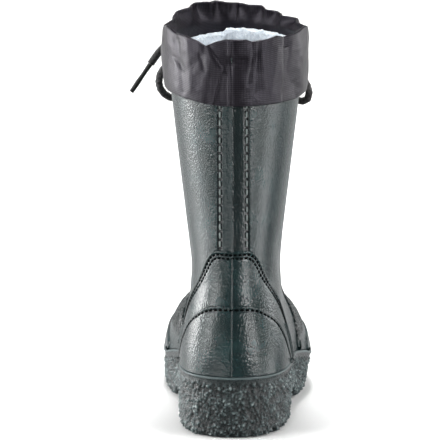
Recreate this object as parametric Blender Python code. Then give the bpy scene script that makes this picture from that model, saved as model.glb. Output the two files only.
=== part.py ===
"""Insulated winter boot for the right foot, standing on its sole.

Metres, +Z up, the toe towards +Y and the outer side of the foot towards +X.
The origin is on the floor, under the middle of the heel.
A point on the upper is named by its turn round the boot (0 at the back, pi at the
toe by way of the outer side) and its height over the floor.
"""

import math

import bmesh
import bpy
from mathutils import Vector

# Sizes of the upper's outside
UPPER_LENGTH = 0.293
HEEL_WIDTH = 0.0818
BALL_WIDTH = 0.1115
ANKLE_WIDTH = 0.067
ANKLE_HEIGHT = 0.1155
COLLAR_WIDTH = 0.105
COLLAR_DEPTH = 0.142
COLLAR_HEIGHT = 0.2915
TOE_SWING = 0.0075
BALL_SKEW = 0.12
UPPER_WALL = 0.0040

# Sizes of the sole
HEEL_LINE = 0.0469
HEEL_SEAT = 0.028
ARCH_HEIGHT = 0.015
TOE_SPRING = 0.012
SOLE_PROUD = 0.0013
SOLE_FLARE = 0.0050
INNER_FLARE = 0.12
HEEL_CORNER = 0.0045
BALL_CORNER = 0.0035
LIP_HEIGHT = 0.0026
LIP_PROUD = 0.0009
GROOVE_WIDTH = 0.0045
GROOVE_DEPTH = 0.0045
LUG_PITCH = 0.0145

# Sizes of what is moulded on the upper
COUNTER_TOP = 0.1410
COUNTER_PROUD = 0.0012
HEEL_CAP_TOP = 0.1000
HEEL_CAP_PROUD = 0.0008
STRIP_WIDTH = 0.0246
STRIP_PROUD = 0.0010
VAMP_PROUD = 0.0010
RAND_HEIGHT = 0.0165
RAND_PROUD = 0.0010

# Where it ends or starts along the upper, as shares of the length, and the vamp edge's lean
COUNTER_REACH = 0.300
HEEL_CAP_REACH = 0.232
VAMP_START = 0.450
VAMP_LEAN = 0.40
RAND_START = 0.567

# How far the foot draws in at the arch, as shares of its half width, and where along it
OUTER_WAIST = 0.05
INNER_WAIST = 0.13
WAIST_PLACE = 0.40
# Where along the length the toe starts to swing in and the ball to skew
SWING_START = 0.30
SKEW_START = 0.35

# Sizes of the soft parts
INSOLE_THICK = 0.0050
INSOLE_MARGIN = 0.0012
CUFF_RISE = 0.0106
CUFF_DROP = 0.0402
CUFF_CLOTH = 0.0011
CUFF_STAND_OFF = 0.0020
CUFF_TUCK = 0.0055
FRONT_RISE = 0.0062
SIDE_DIP = 0.0040
RIM_TILT = 0.0020
HEM_DRAW_IN = 0.0028
HEM_LIFT = 0.0062
PLEAT_DEPTH = 0.0016
CORD_WIDTH = 0.0056
AGLET_WIDTH = 0.0036
AGLET_LENGTH = 0.026
KNOT_WIDTH = 0.0160
KNOT_DEPTH = 0.0105
KNOT_DROP = 0.0140

GAP = 0.0003
SMALL_RISE = UPPER_WALL / 40
SMALL_TURN = 0.02
HEEL_CENTRE = HEEL_WIDTH / 2
CUFF_RIM = COLLAR_HEIGHT + CUFF_RISE
CUFF_HEM = COLLAR_HEIGHT - CUFF_DROP

# Levels of the foot: level as a share of ANKLE_HEIGHT, back and front as shares of
# UPPER_LENGTH, heel and ball as how far the half width goes from the ankle's to the
# heel's or the ball's, and how square the two ends are (2 is an ellipse).
FOOT_LEVELS = (
    # level, back, front, heel, ball, back_square, toe_square
    (0.100, 0.0080, 0.985, 0.80, 0.98, 7.0, 4.6),
    (0.235, 0.0045, 1.000, 0.92, 1.00, 7.0, 4.4),
    (0.298, 0.0036, 1.000, 0.95, 0.96, 7.0, 4.4),
    (0.404, 0.0020, 0.992, 1.00, 0.80, 6.8, 4.1),
    (0.491, 0.0018, 0.962, 0.97, 0.64, 6.4, 3.6),
    (0.561, 0.0034, 0.912, 0.91, 0.48, 5.9, 3.2),
    (0.632, 0.0062, 0.832, 0.79, 0.28, 5.2, 2.95),
    (0.719, 0.0105, 0.728, 0.59, 0.10, 4.4, 2.7),
    (0.825, 0.0170, 0.630, 0.33, 0.03, 3.6, 2.5),
    (0.930, 0.0235, 0.562, 0.11, 0.01, 2.9, 2.3),
    (1.000, 0.0275, 0.530, 0.00, 0.00, 2.6, 2.2),
)
# Levels of the shaft: rise from the ankle to the collar, back and depth as shares of
# COLLAR_DEPTH, and how far the half width goes from the ankle's to the collar's.
SHAFT_LEVELS = (
    # rise, back, depth, half, square
    (0.119, 0.064, 0.950, 0.070, 2.30),
    (0.261, 0.063, 0.915, 0.215, 2.15),
    (0.489, 0.049, 0.922, 0.470, 2.08),
    (0.773, 0.027, 0.966, 0.774, 2.03),
    (1.000, 0.010, 1.000, 1.000, 2.00),
)
# Side view of the sole: place as a share of UPPER_LENGTH, the line where the upper
# meets it as a share of HEEL_LINE, and the bed inside as a share of HEEL_SEAT.
SOLE_PROFILE = (
    # place, line, seat
    (-0.05, 1.00, 1.00),
    (0.10, 1.00, 1.00),
    (0.25, 1.00, 0.97),
    (0.36, 0.95, 0.86),
    (0.50, 0.80, 0.66),
    (0.66, 0.61, 0.52),
    (0.80, 0.60, 0.53),
    (0.92, 0.69, 0.68),
    (1.05, 0.84, 0.90),
)
# Underside from heel to toe: place as a share of the outline, how far it rises
# towards ARCH_HEIGHT and towards TOE_SPRING, the side's flare as a share of
# SOLE_FLARE, and the lower corner, 1 as at the heel and 0 as at the ball.
UNDERSIDE = (
    # place, arch, spring, flare, corner
    (0.000, 0.00, 0.00, 0.30, 1.0),
    (0.235, 0.00, 0.00, 0.30, 1.0),
    (0.255, 0.00, 0.00, 0.32, 0.9),
    (0.268, 1.00, 0.00, 0.35, 0.8),
    (0.400, 0.92, 0.00, 0.60, 0.3),
    (0.480, 0.30, 0.00, 0.85, 0.1),
    (0.525, 0.00, 0.00, 1.00, 0.0),
    (0.780, 0.00, 0.00, 1.00, 0.0),
    (0.860, 0.00, 0.18, 1.00, 0.0),
    (0.930, 0.00, 0.52, 1.00, 0.2),
    (1.000, 0.00, 1.00, 0.90, 0.3),
)
# Stations along each side of the outline, from the back to the toe.
STATIONS = (
    0.0, 0.004, 0.016, 0.036, 0.064, 0.100, 0.142, 0.190, 0.235, 0.255, 0.268, 0.310,
    0.355, 0.400, 0.440, 0.480, 0.525, 0.575, 0.625, 0.680, 0.730, 0.780, 0.822,
    0.860, 0.897, 0.930, 0.957, 0.978, 0.993, 1.0,
)
# Heights of the upper's rings over the sole, as shares of ANKLE_HEIGHT and of the shaft.
FOOT_RINGS = (0.44, 0.49, 0.54, 0.59, 0.64, 0.70, 0.76, 0.82, 0.88, 0.94, 1.0)
SHAFT_RINGS = (0.06, 0.13, 0.22, 0.35, 0.51, 0.68, 0.84, 1.0)
CUFF_COLUMNS = 48
CORD_STEP = 2.0
LINE_STEPS = 3
SEAT_STEPS = 2
# How deep the forms of the first and the second layer root in the upper's wall, as shares of it.
ROOTS = (0.30, 0.45)
# Outlines of the counter and of the heel cap: the place forward as a share of the form's reach,
# and how far its edge has come down there from its top to the sole's line.
COUNTER_OUTLINE = (
    # place, drop
    (0.00, 0.00),
    (0.13, 0.00),
    (0.18, 0.03),
    (0.22, 0.09),
    (0.27, 0.18),
    (0.36, 0.30),
    (0.50, 0.46),
    (0.75, 0.745),
    (1.00, 1.00),
)
HEEL_CAP_OUTLINE = (
    # place, drop
    (0.00, 0.00),
    (0.09, 0.00),
    (0.16, 0.025),
    (0.28, 0.13),
    (0.43, 0.29),
    (0.57, 0.50),
    (0.70, 0.70),
    (0.85, 0.87),
    (1.00, 1.00),
)
# The grooves: where along the length those of the forefoot start, and their slant in degrees.
BALL_GROOVES = 0.545
GROOVE_SLANT = -8.0

COLOURS = {
    "boot green": ((0.085, 0.125, 0.118, 1.0), 0.42),
    "sole green": ((0.090, 0.115, 0.110, 1.0), 0.62),
    "felt grey": ((0.30, 0.31, 0.32, 1.0), 0.90),
    "nylon charcoal": ((0.055, 0.052, 0.058, 1.0), 0.55),
    "cord black": ((0.012, 0.012, 0.012, 1.0), 0.80),
    "aglet black": ((0.015, 0.015, 0.015, 1.0), 0.40),
}


def clear_scene():
    for found in list(bpy.data.objects):
        bpy.data.objects.remove(found)


def mix(low, high, share):
    return low + (high - low) * share


def ease(share):
    """0 below 0, 1 above 1 and a smooth rise between."""
    share = min(1.0, max(0.0, share))
    return share * share * (3 - 2 * share)


def slopes_of(rows):
    """The slope of each column at each row, flat where a column turns."""
    found = []
    for i in range(len(rows)):
        before, here, after = rows[max(i - 1, 0)], rows[i], rows[min(i + 1, len(rows) - 1)]
        slope = []
        for k in range(1, len(here)):
            back = (here[k] - before[k]) / max(here[0] - before[0], 1e-9)
            ahead = (after[k] - here[k]) / max(after[0] - here[0], 1e-9)
            if i == 0 or i == len(rows) - 1:
                slope.append(back + ahead)
            elif back * ahead <= 0:
                slope.append(0.0)
            else:
                slope.append(2 * back * ahead / (back + ahead))
        found.append(slope)
    return found


def curve_through(rows):
    """A function that gives the columns after the first, smoothly, at any place."""
    slopes = slopes_of(rows)

    def at(place):
        place = min(max(place, rows[0][0]), rows[-1][0])
        i = 0
        while i < len(rows) - 2 and place > rows[i + 1][0]:
            i += 1
        low, high = rows[i], rows[i + 1]
        width = high[0] - low[0]
        t = (place - low[0]) / width
        a, b = 2 * t**3 - 3 * t**2 + 1, t**3 - 2 * t**2 + t
        c, d = 3 * t**2 - 2 * t**3, t**3 - t**2
        return [
            a * low[k] + b * width * slopes[i][k - 1] + c * high[k] + d * width * slopes[i + 1][k - 1]
            for k in range(1, len(low))
        ]

    return at


def straight_through(rows):
    """The same with straight lines between the rows."""

    def at(place):
        place = min(max(place, rows[0][0]), rows[-1][0])
        i = 0
        while i < len(rows) - 2 and place > rows[i + 1][0]:
            i += 1
        low, high = rows[i], rows[i + 1]
        t = (place - low[0]) / (high[0] - low[0])
        return [mix(low[k], high[k], t) for k in range(1, len(low))]

    return at


def levels_in_metres():
    """Both tables of levels as rows of height, back, front, heel half, ball half and the two ends."""
    ankle, heel, ball, collar = (w / 2 for w in (ANKLE_WIDTH, HEEL_WIDTH, BALL_WIDTH, COLLAR_WIDTH))
    rows = []
    for level, back, front, to_heel, to_ball, back_square, toe_square in FOOT_LEVELS:
        halves = mix(ankle, heel, to_heel), mix(ankle, ball, to_ball)
        ends = back * UPPER_LENGTH, front * UPPER_LENGTH
        rows.append((level * ANKLE_HEIGHT, *ends, *halves, back_square, toe_square))
    for rise, back, depth, to_collar, square in SHAFT_LEVELS:
        half = mix(ankle, collar, to_collar)
        ends = back * COLLAR_DEPTH, (back + depth) * COLLAR_DEPTH
        height = mix(ANKLE_HEIGHT, COLLAR_HEIGHT, rise)
        rows.append((height, *ends, half, half, square, square))
    return rows


level_at = curve_through(levels_in_metres())
profile_at = curve_through(SOLE_PROFILE)
underside_at = straight_through(UNDERSIDE)


def line_height(y):
    """Height of the line where the upper meets the sole, y from the middle of the heel."""
    return profile_at((y + HEEL_CENTRE) / UPPER_LENGTH)[0] * HEEL_LINE


def seat_height(y):
    return profile_at((y + HEEL_CENTRE) / UPPER_LENGTH)[1] * HEEL_SEAT


def turn_of(place, outer):
    """The turn of a station, on the outer side or on the inner one."""
    turn = math.acos(1 - 2 * place)
    return turn if outer else 2 * math.pi - turn


def all_turns():
    outer = [turn_of(place, True) for place in STATIONS]
    inner = [turn_of(place, False) for place in STATIONS[1:-1]]
    return outer + inner[::-1]


def upper_point(turn, height):
    """The point of the upper's outside at that turn and height."""
    back, front, heel, ball, back_square, toe_square = level_at(height)
    place = (1 - math.cos(turn)) / 2
    y = mix(back, front, place)
    square = back_square if place < 0.5 else toe_square
    reach = math.sqrt(max(0.0, 1 - abs(2 * place - 1) ** square))
    outer = math.sin(turn) >= 0
    low = 1 - ease((height - 0.30 * ANKLE_HEIGHT) / (0.75 * ANKLE_HEIGHT))
    drawn_in = OUTER_WAIST if outer else INNER_WAIST
    waist = drawn_in * low * math.exp(-(((place - WAIST_PLACE) / 0.13) ** 2))
    half = mix(heel, ball, ease((place - 0.12) / 0.56)) * reach * (1 - waist)
    x = half if outer else -half
    ahead = max(0.0, y / UPPER_LENGTH - SWING_START) / (1 - SWING_START)
    x -= TOE_SWING * ahead**1.6
    y -= BALL_SKEW * x * ease((y / UPPER_LENGTH - SKEW_START) / SKEW_START)
    return Vector((x, y - HEEL_CENTRE, height))


def upper_normal(turn, height):
    """The outward normal of the upper's outside."""
    around = upper_point(turn + SMALL_TURN, height) - upper_point(turn - SMALL_TURN, height)
    up = upper_point(turn, height + SMALL_RISE) - upper_point(turn, height - SMALL_RISE)
    return around.cross(up).normalized()


def off_upper(turn, height, out):
    """A point that far out from the upper's outside, or inside it where out is negative."""
    return upper_point(turn, height) + upper_normal(turn, height) * out


def plan_off_upper(turn, height, out):
    """The same, moved level with the floor only."""
    normal = upper_normal(turn, height)
    normal.z = 0.0
    return upper_point(turn, height) + normal.normalized() * out


def on_line(turn, line, extra=0.0):
    """The height at which a turn meets the curve line(y), plus extra."""
    height = HEEL_LINE
    for _ in range(12):
        height = line(upper_point(turn, height).y) + extra
    return height


def ring_heights(turn):
    """Heights of one column of the upper, from the sole's line to the collar."""
    low = on_line(turn, line_height, GAP)
    first = max(FOOT_RINGS[0] * ANKLE_HEIGHT, HEEL_LINE + UPPER_WALL)
    heights = [mix(low, first, i / LINE_STEPS) for i in range(LINE_STEPS)]
    heights += [max(first, share * ANKLE_HEIGHT) for share in FOOT_RINGS[:1]]
    heights += [share * ANKLE_HEIGHT for share in FOOT_RINGS[1:] if share * ANKLE_HEIGHT > first + GAP]
    heights += [mix(ANKLE_HEIGHT, COLLAR_HEIGHT, share) for share in SHAFT_RINGS]
    return heights


def cup_heights(turn):
    """Heights of one column inside the sole's cup, from the bed up to below the line."""
    seat = on_line(turn, seat_height)
    line = on_line(turn, line_height)
    return [mix(seat, line, i / SEAT_STEPS) for i in range(SEAT_STEPS)]


def material(name):
    made = bpy.data.materials.get(name)
    if made is None:
        colour, roughness = COLOURS[name]
        made = bpy.data.materials.new(name)
        made.use_nodes = True
        shader = made.node_tree.nodes["Principled BSDF"]
        shader.inputs["Base Color"].default_value = colour
        shader.inputs["Roughness"].default_value = roughness
        shader.inputs["Metallic"].default_value = 0.0
    return made


def new_object(name, mesh, finish):
    mesh.materials.append(material(finish))
    made = bpy.data.objects.new(name, mesh)
    bpy.context.scene.collection.objects.link(made)
    return made


def finished(name, shape, finish):
    """An object from a bmesh, with its faces turned out."""
    bmesh.ops.recalc_face_normals(shape, faces=shape.faces)
    mesh = bpy.data.meshes.new(name)
    shape.to_mesh(mesh)
    shape.free()
    mesh.shade_smooth()
    mesh.set_sharp_from_angle(angle=math.radians(40))
    return new_object(name, mesh, finish)


def add_ring(shape, points):
    return [shape.verts.new(point) for point in points]


def bridge(shape, low, high, closed=True):
    """Quads between two rings of as many points."""
    for i in range(len(low) if closed else len(low) - 1):
        j = (i + 1) % len(low)
        shape.faces.new((low[i], low[j], high[j], high[i]))


def fill_across(shape, ring):
    """Closes a ring of the outline by strips from its outer side to its inner side."""
    count = len(ring)
    half = count // 2
    shape.faces.new((ring[0], ring[1], ring[count - 1]))
    for i in range(1, half - 1):
        shape.faces.new((ring[i], ring[i + 1], ring[count - i - 1], ring[count - i]))
    shape.faces.new((ring[half - 1], ring[half], ring[half + 1]))


def boolean(target, others, operation):
    """Cuts or joins other objects with a live modifier, one after the other."""
    for other in others:
        other.hide_render = True
        other.display_type = "WIRE"
        modifier = target.modifiers.new(other.name, "BOOLEAN")
        modifier.operation = operation
        modifier.solver = "EXACT"
        modifier.object = other


def upper_shell(turns):
    """The hollow upper: its wall from the sole's line to the collar."""
    shape = bmesh.new()
    columns = [ring_heights(turn) for turn in turns]
    rows = list(range(len(columns[0])))
    inner_rows = rows[:1] + rows[1:-1:2] + rows[-1:]
    walls = []
    for out, kept in ((0.0, rows), (-UPPER_WALL, inner_rows)):
        rings = []
        for row in kept:
            points = [off_upper(turn, column[row], out) for turn, column in zip(turns, columns)]
            for point in points:
                if row == 0:
                    point.z = line_height(point.y) + GAP
                if row == rows[-1]:
                    point.z = COLLAR_HEIGHT
            rings.append(add_ring(shape, points))
        for low, high in zip(rings, rings[1:]):
            bridge(shape, low, high)
        walls.append(rings)
    outside, inside = walls
    bridge(shape, outside[0], inside[0])
    bridge(shape, outside[-1], inside[-1])
    return finished("upper", shape, "boot green")


def edge_height(turn, inside, low, high):
    """The height between low and high where a column leaves a region."""
    for _ in range(30):
        middle = (low + high) / 2
        if inside(upper_point(turn, middle)):
            low = middle
        else:
            high = middle
    return low


def raised(name, columns, rows, proud, layer):
    """A form on the upper's wall, in the first or the second layer, each rooted at a depth of its
    own. Each column is a turn and its lowest and highest height."""
    shape = bmesh.new()
    sheets = []
    for out in (proud, -UPPER_WALL * ROOTS[layer]):
        rings = []
        for row in range(rows + 1):
            points = [off_upper(t, mix(low, high, row / rows), out) for t, low, high in columns]
            rings.append(add_ring(shape, points))
        for low_ring, high_ring in zip(rings, rings[1:]):
            bridge(shape, low_ring, high_ring, closed=False)
        sheets.append(rings)
    outer, inner = sheets
    bridge(shape, outer[0], inner[0], closed=False)
    bridge(shape, outer[-1], inner[-1], closed=False)
    for end in (0, -1):
        bridge(shape, [ring[end] for ring in outer], [ring[end] for ring in inner], closed=False)
    return finished(name, shape, "boot green")


def foot_start(turn, layer):
    """Where a form of a layer starts, just over the upper's lower edge."""
    return on_line(turn, line_height, (2 + layer) * GAP)


def columns_to(turns, layer, inside):
    """Columns from the sole's line up to where each turn leaves a region."""
    columns = []
    for turn in turns:
        low = foot_start(turn, layer)
        columns.append((turn, low, edge_height(turn, inside, low, COLLAR_HEIGHT)))
    return columns


def heel_turns(reach, steps):
    """Turns round the back, nearly as far forward as reach on both sides."""
    widest = 2 * math.asin(math.sqrt(0.93 * reach))
    return [widest * i / steps for i in range(-steps, steps + 1)]


def heel_form_columns(top, reach, outline, steps, layer):
    """Columns of a form round the heel: its edge comes down from its top as its outline says."""
    drop_at = curve_through(outline)

    def inside(point):
        line = line_height(point.y)
        drop = drop_at((point.y + HEEL_CENTRE) / (reach * UPPER_LENGTH))[0]
        return point.z < top - (top - line) * drop

    return columns_to(heel_turns(reach, steps), layer, inside)


def turn_at_side(side, height):
    """The turn near the back at which the upper is that far to one side."""
    low, high = 0.0, math.pi / 2
    middle_x = upper_point(0.0, height).x
    for _ in range(30):
        middle = (low + high) / 2
        if upper_point(middle, height).x - middle_x < abs(side):
            low = middle
        else:
            high = middle
    return math.copysign(low, side)


def back_strip():
    """The strip up the back of the shaft, from the counter to under the cuff."""
    shape = bmesh.new()
    across = 6
    heights = [mix(COUNTER_TOP - UPPER_WALL, COLLAR_HEIGHT - UPPER_WALL, i / 6) for i in range(7)]
    sheets = []
    for out in (STRIP_PROUD, -UPPER_WALL * ROOTS[1]):
        rings = []
        for height in heights:
            sides = [STRIP_WIDTH * (i / across - 0.5) for i in range(across + 1)]
            points = [off_upper(turn_at_side(side, height), height, out) for side in sides]
            rings.append(add_ring(shape, points))
        for low, high in zip(rings, rings[1:]):
            bridge(shape, low, high, closed=False)
        sheets.append(rings)
    outer, inner = sheets
    bridge(shape, outer[0], inner[0], closed=False)
    bridge(shape, outer[-1], inner[-1], closed=False)
    for end in (0, -1):
        bridge(shape, [ring[end] for ring in outer], [ring[end] for ring in inner], closed=False)
    return finished("strip_form", shape, "boot green")


def forefoot_turns(start, steps):
    """Turns round the toe, back to a place on both sides."""
    widest = math.pi - 2 * math.asin(math.sqrt(start))
    return [math.pi + widest * i / steps for i in range(-steps, steps + 1)]


def vamp_columns():
    """All of the forefoot ahead of a leaning seam over the instep."""

    def inside(point):
        seam = VAMP_START * UPPER_LENGTH + VAMP_LEAN * (point.z - HEEL_LINE)
        return point.y + HEEL_CENTRE > seam

    columns = []
    for turn in forefoot_turns(VAMP_START, 15):
        low = foot_start(turn, 0)
        high = edge_height(turn, inside, low, ANKLE_HEIGHT)
        if high - low > VAMP_PROUD:
            columns.append((turn, low, high))
    return columns


def rand_columns():
    """The band along the sole round the forefoot, with its ends run down to the sole."""
    columns = []
    turns = forefoot_turns(RAND_START, 14)
    for turn in turns:
        share = abs(turn - math.pi) / (turns[-1] - math.pi)
        end = math.sqrt(max(0.0, 1 - share**8))
        low = foot_start(turn, 1)
        columns.append((turn, low, low + max(RAND_PROUD, RAND_HEIGHT * end)))
    return columns


def upper_with_forms(turns):
    """The upper in one piece with all that is moulded on it."""
    upper = upper_shell(turns)
    counter = heel_form_columns(COUNTER_TOP, COUNTER_REACH, COUNTER_OUTLINE, 14, 0)
    heel_cap = heel_form_columns(HEEL_CAP_TOP, HEEL_CAP_REACH, HEEL_CAP_OUTLINE, 11, 1)
    forms = [
        raised("counter_form", counter, 6, COUNTER_PROUD, 0),
        raised("heel_cap_form", heel_cap, 4, COUNTER_PROUD + HEEL_CAP_PROUD, 1),
        back_strip(),
        raised("vamp_form", vamp_columns(), 6, VAMP_PROUD, 0),
        raised("rand_form", rand_columns(), 3, VAMP_PROUD + RAND_PROUD, 1),
    ]
    boolean(upper, forms, "UNION")
    return upper


def sole_rings(turns):
    """Points of the sole's rings: under edge, corner, side, lip, rim and the cup's wall."""
    rows = []
    columns = []
    for turn in turns:
        place = (1 - math.cos(turn)) / 2
        arch, spring, flare, corner_share = underside_at(place)
        flare *= mix(INNER_FLARE, 1.0, ease(0.5 + 0.8 * math.sin(turn)))
        under = arch * ARCH_HEIGHT + spring * TOE_SPRING
        corner = mix(BALL_CORNER, HEEL_CORNER, corner_share)
        line = on_line(turn, line_height)
        column = []
        for angle in (0, 30, 60, 90):
            inset = corner * (1 - math.sin(math.radians(angle)))
            rise = corner * (1 - math.cos(math.radians(angle)))
            height = under + rise
            lean = flare * SOLE_FLARE * (1 - rise / (line - under))
            column.append((SOLE_PROUD - inset - lean, height))
        lip = line - LIP_HEIGHT
        middle = mix(under + corner, lip, 0.5)
        lean = flare * SOLE_FLARE * (line - middle) / (line - under)
        column.append((SOLE_PROUD - lean, middle))
        column.append((SOLE_PROUD, lip))
        column.append((SOLE_PROUD + LIP_PROUD, lip + LIP_PROUD))
        column.append((SOLE_PROUD + LIP_PROUD, line - LIP_PROUD))
        column.append((SOLE_PROUD, line))
        columns.append([(turn, line, out, height) for out, height in column])
    for row in range(len(columns[0])):
        points = []
        for column in columns:
            turn, line, out, height = column[row]
            point = plan_off_upper(turn, line, out)
            point.z = height
            points.append(point)
        rows.append(points)
    rim = [off_upper(turn, on_line(turn, line_height), -UPPER_WALL) for turn in turns]
    for point in rim:
        point.z = line_height(point.y)
    rows.append(rim)
    cups = [cup_heights(turn) for turn in turns]
    for row in range(SEAT_STEPS - 1, -1, -1):
        points = [off_upper(turn, cup[row], -UPPER_WALL) for turn, cup in zip(turns, cups)]
        if row == 0:
            for point in points:
                point.z = seat_height(point.y)
        rows.append(points)
    return rows


def tread_cutters():
    """Grooves across the heel and the forefoot, each a long block lying in the underside."""
    places = [(i + 0.5) * LUG_PITCH for i in (-2, -1, 0, 1)]
    ball = BALL_GROOVES * UPPER_LENGTH - HEEL_CENTRE
    places += [ball + i * LUG_PITCH for i in range(8)]
    cutters = []
    for i, y in enumerate(places):
        share = (y + HEEL_CENTRE) / UPPER_LENGTH
        arch, spring, _, _ = underside_at(share)
        ahead = underside_at(share + 0.02)
        rise = (ahead[1] - spring) * TOE_SPRING / (0.02 * UPPER_LENGTH)
        made = bmesh.new()
        bmesh.ops.create_cube(made, size=1.0)
        mesh = bpy.data.meshes.new(f"groove_{i + 1}")
        made.to_mesh(mesh)
        made.free()
        cutter = new_object(f"groove_{i + 1}", mesh, "sole green")
        under = arch * ARCH_HEIGHT + spring * TOE_SPRING
        cutter.scale = (2 * BALL_WIDTH, GROOVE_WIDTH, 2 * GROOVE_DEPTH)
        cutter.location = (0.0, y, under)
        slant = GROOVE_SLANT if y > ball - LUG_PITCH else 0.0
        cutter.rotation_euler = (math.atan(rise), 0.0, math.radians(slant))
        cutters.append(cutter)
    return cutters


def outsole(turns):
    """The sole with its heel, cup, lip and lugs in one solid."""
    shape = bmesh.new()
    rings = [add_ring(shape, points) for points in sole_rings(turns)]
    for low, high in zip(rings, rings[1:]):
        bridge(shape, low, high)
    fill_across(shape, rings[0])
    fill_across(shape, rings[-1])
    sole = finished("outsole", shape, "sole green")
    boolean(sole, tread_cutters(), "DIFFERENCE")
    return sole


def insole(turns):
    """The flat bed that lies in the sole's cup."""
    shape = bmesh.new()
    rings = []
    for lift in (GAP, GAP + INSOLE_THICK):
        points = []
        for turn in turns:
            point = plan_off_upper(turn, on_line(turn, seat_height), -UPPER_WALL - INSOLE_MARGIN)
            point.z = seat_height(point.y) + lift
            points.append(point)
        rings.append(add_ring(shape, points))
    bridge(shape, rings[0], rings[1])
    fill_across(shape, rings[0])
    fill_across(shape, rings[1])
    return finished("insole", shape, "felt grey")


def pleat(turn):
    """Depth of the cuff's gathers at a turn, from -1 to 1, uneven as in pulled cloth."""
    return 0.5 * math.sin(9 * turn + 0.8) + 0.32 * math.sin(14 * turn + 2.1) + 0.18 * math.sin(5 * turn)


def rim_shift(turn):
    """How much higher the cuff's rim stands at a turn: up at the front and down at the sides."""
    place = (1 - math.cos(turn)) / 2
    return FRONT_RISE * place**2 - SIDE_DIP * math.sin(turn) ** 2 - RIM_TILT * place * math.sin(turn)


def hem_shift(turn):
    """How much higher the hem hangs at a turn: up on the inner side, where the cord pulls it."""
    return HEM_LIFT * max(0.0, -math.sin(turn)) ** 1.3


def cuff_slices():
    """One slice of the cuff: how far out from the collar, the height, and shares of the pleats and
    of the rim's and the hem's shifts. It runs up outside, over the rim, down inside and back."""
    hem, rim, cloth = CUFF_HEM, CUFF_RIM, CUFF_CLOTH
    out = CUFF_STAND_OFF
    inner = -(UPPER_WALL + GAP + cloth)
    tuck = COLLAR_HEIGHT - CUFF_TUCK
    return (
        (out - HEM_DRAW_IN + cloth, hem, 0.15, 0.0, 1.0),
        (out - HEM_DRAW_IN / 3 + cloth, mix(hem, rim, 0.35), 0.25, 0.3, 0.5),
        (out + cloth, mix(hem, rim, 0.75), 0.55, 0.8, 0.1),
        (out * 0.7 + cloth, rim - 1.5 * cloth, 0.75, 1.0, 0.0),
        (out * 0.2, rim, 0.85, 1.0, 0.0),
        (inner * 0.45, rim, 0.85, 1.0, 0.0),
        (inner - 2 * cloth, rim - 2.2 * cloth, 1.0, 1.0, 0.0),
        (inner - 2.6 * cloth, mix(tuck, rim, 0.45), 1.0, 0.5, 0.0),
        (inner - cloth, tuck, 0.3, 0.0, 0.0),
        (inner, tuck, 0.3, 0.0, 0.0),
        (inner - 1.6 * cloth, mix(tuck, rim, 0.45), 1.0, 0.5, 0.0),
        (inner - cloth, rim - 3.2 * cloth, 1.0, 1.0, 0.0),
        (inner * 0.45, rim - cloth, 0.85, 1.0, 0.0),
        (out * 0.2, rim - cloth, 0.85, 1.0, 0.0),
        (out * 0.7, rim - 2.5 * cloth, 0.75, 1.0, 0.0),
        (out, mix(hem, rim, 0.75), 0.55, 0.8, 0.1),
        (out - HEM_DRAW_IN / 3, mix(hem, rim, 0.35), 0.25, 0.3, 0.5),
        (out - HEM_DRAW_IN, hem, 0.15, 0.0, 1.0),
    )


def cuff_point(turn, place):
    """The cuff's point at a turn for one row of its slice."""
    reach, height, pleats, rim_share, hem_share = place
    fold = PLEAT_DEPTH * pleats * pleat(turn)
    if reach < 0:
        fold = min(fold, 0.0)
    point = plan_off_upper(turn, COLLAR_HEIGHT, reach + fold)
    point.z = height + rim_share * rim_shift(turn) + hem_share * hem_shift(turn)
    return point


def cuff():
    """The nylon cuff: up from inside the collar, over it and down to a loose hem."""
    shape = bmesh.new()
    turns = [2 * math.pi * i / CUFF_COLUMNS for i in range(CUFF_COLUMNS)]
    rings = [add_ring(shape, [cuff_point(turn, place) for turn in turns]) for place in cuff_slices()]
    for low, high in zip(rings, rings[1:] + rings[:1]):
        bridge(shape, low, high)
    return finished("cuff", shape, "nylon charcoal")


def smooth_route(stops, spacing):
    """Points along a smooth curve through the stops, about spacing apart."""
    ways = []
    for before, after in zip(stops[:1] + stops[:-1], stops[1:] + stops[-1:]):
        ways.append((after - before).normalized())
    fine = []
    for i in range(len(stops) - 1):
        low, high = stops[i], stops[i + 1]
        a, b = (way * (high - low).length for way in ways[i : i + 2])
        for k in range(16):
            t = k / 16
            curve = low * (2 * t**3 - 3 * t**2 + 1) + high * (3 * t**2 - 2 * t**3)
            fine.append(curve + a * (t**3 - 2 * t**2 + t) + b * (t**3 - t**2))
    fine.append(stops[-1].copy())
    length = sum((b - a).length for a, b in zip(fine, fine[1:]))
    count = max(2, round(length / spacing))
    points = [fine[0]]
    walked = 0.0
    for a, b in zip(fine, fine[1:]):
        step = (b - a).length
        while len(points) < count and walked + step >= length * len(points) / count:
            share = (length * len(points) / count - walked) / step
            points.append(a.lerp(b, share))
        walked += step
    return points + [fine[-1]]


def tube(name, points, width, finish):
    """A round cord with closed ends through the points."""
    curve = bpy.data.curves.new(name, "CURVE")
    curve.dimensions = "3D"
    curve.bevel_depth = width / 2
    curve.bevel_resolution = 2
    curve.use_fill_caps = True
    spline = curve.splines.new("POLY")
    spline.points.add(len(points) - 1)
    for place, point in zip(spline.points, points):
        place.co = (*point, 1.0)
    curve.materials.append(material(finish))
    made = bpy.data.objects.new(name, curve)
    bpy.context.scene.collection.objects.link(made)
    return made


def knot_centre():
    """The middle of the bow's knot, just clear of the front of the cuff."""
    height = COLLAR_HEIGHT - KNOT_DROP
    outside = [cuff_point(math.pi, place) for place in cuff_slices()[:4]]
    for low, high in zip(outside, outside[1:]):
        if low.z <= height <= high.z:
            front = low.lerp(high, (height - low.z) / (high.z - low.z))
    return Vector((front.x, front.y + GAP + KNOT_DEPTH / 2, height))


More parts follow.
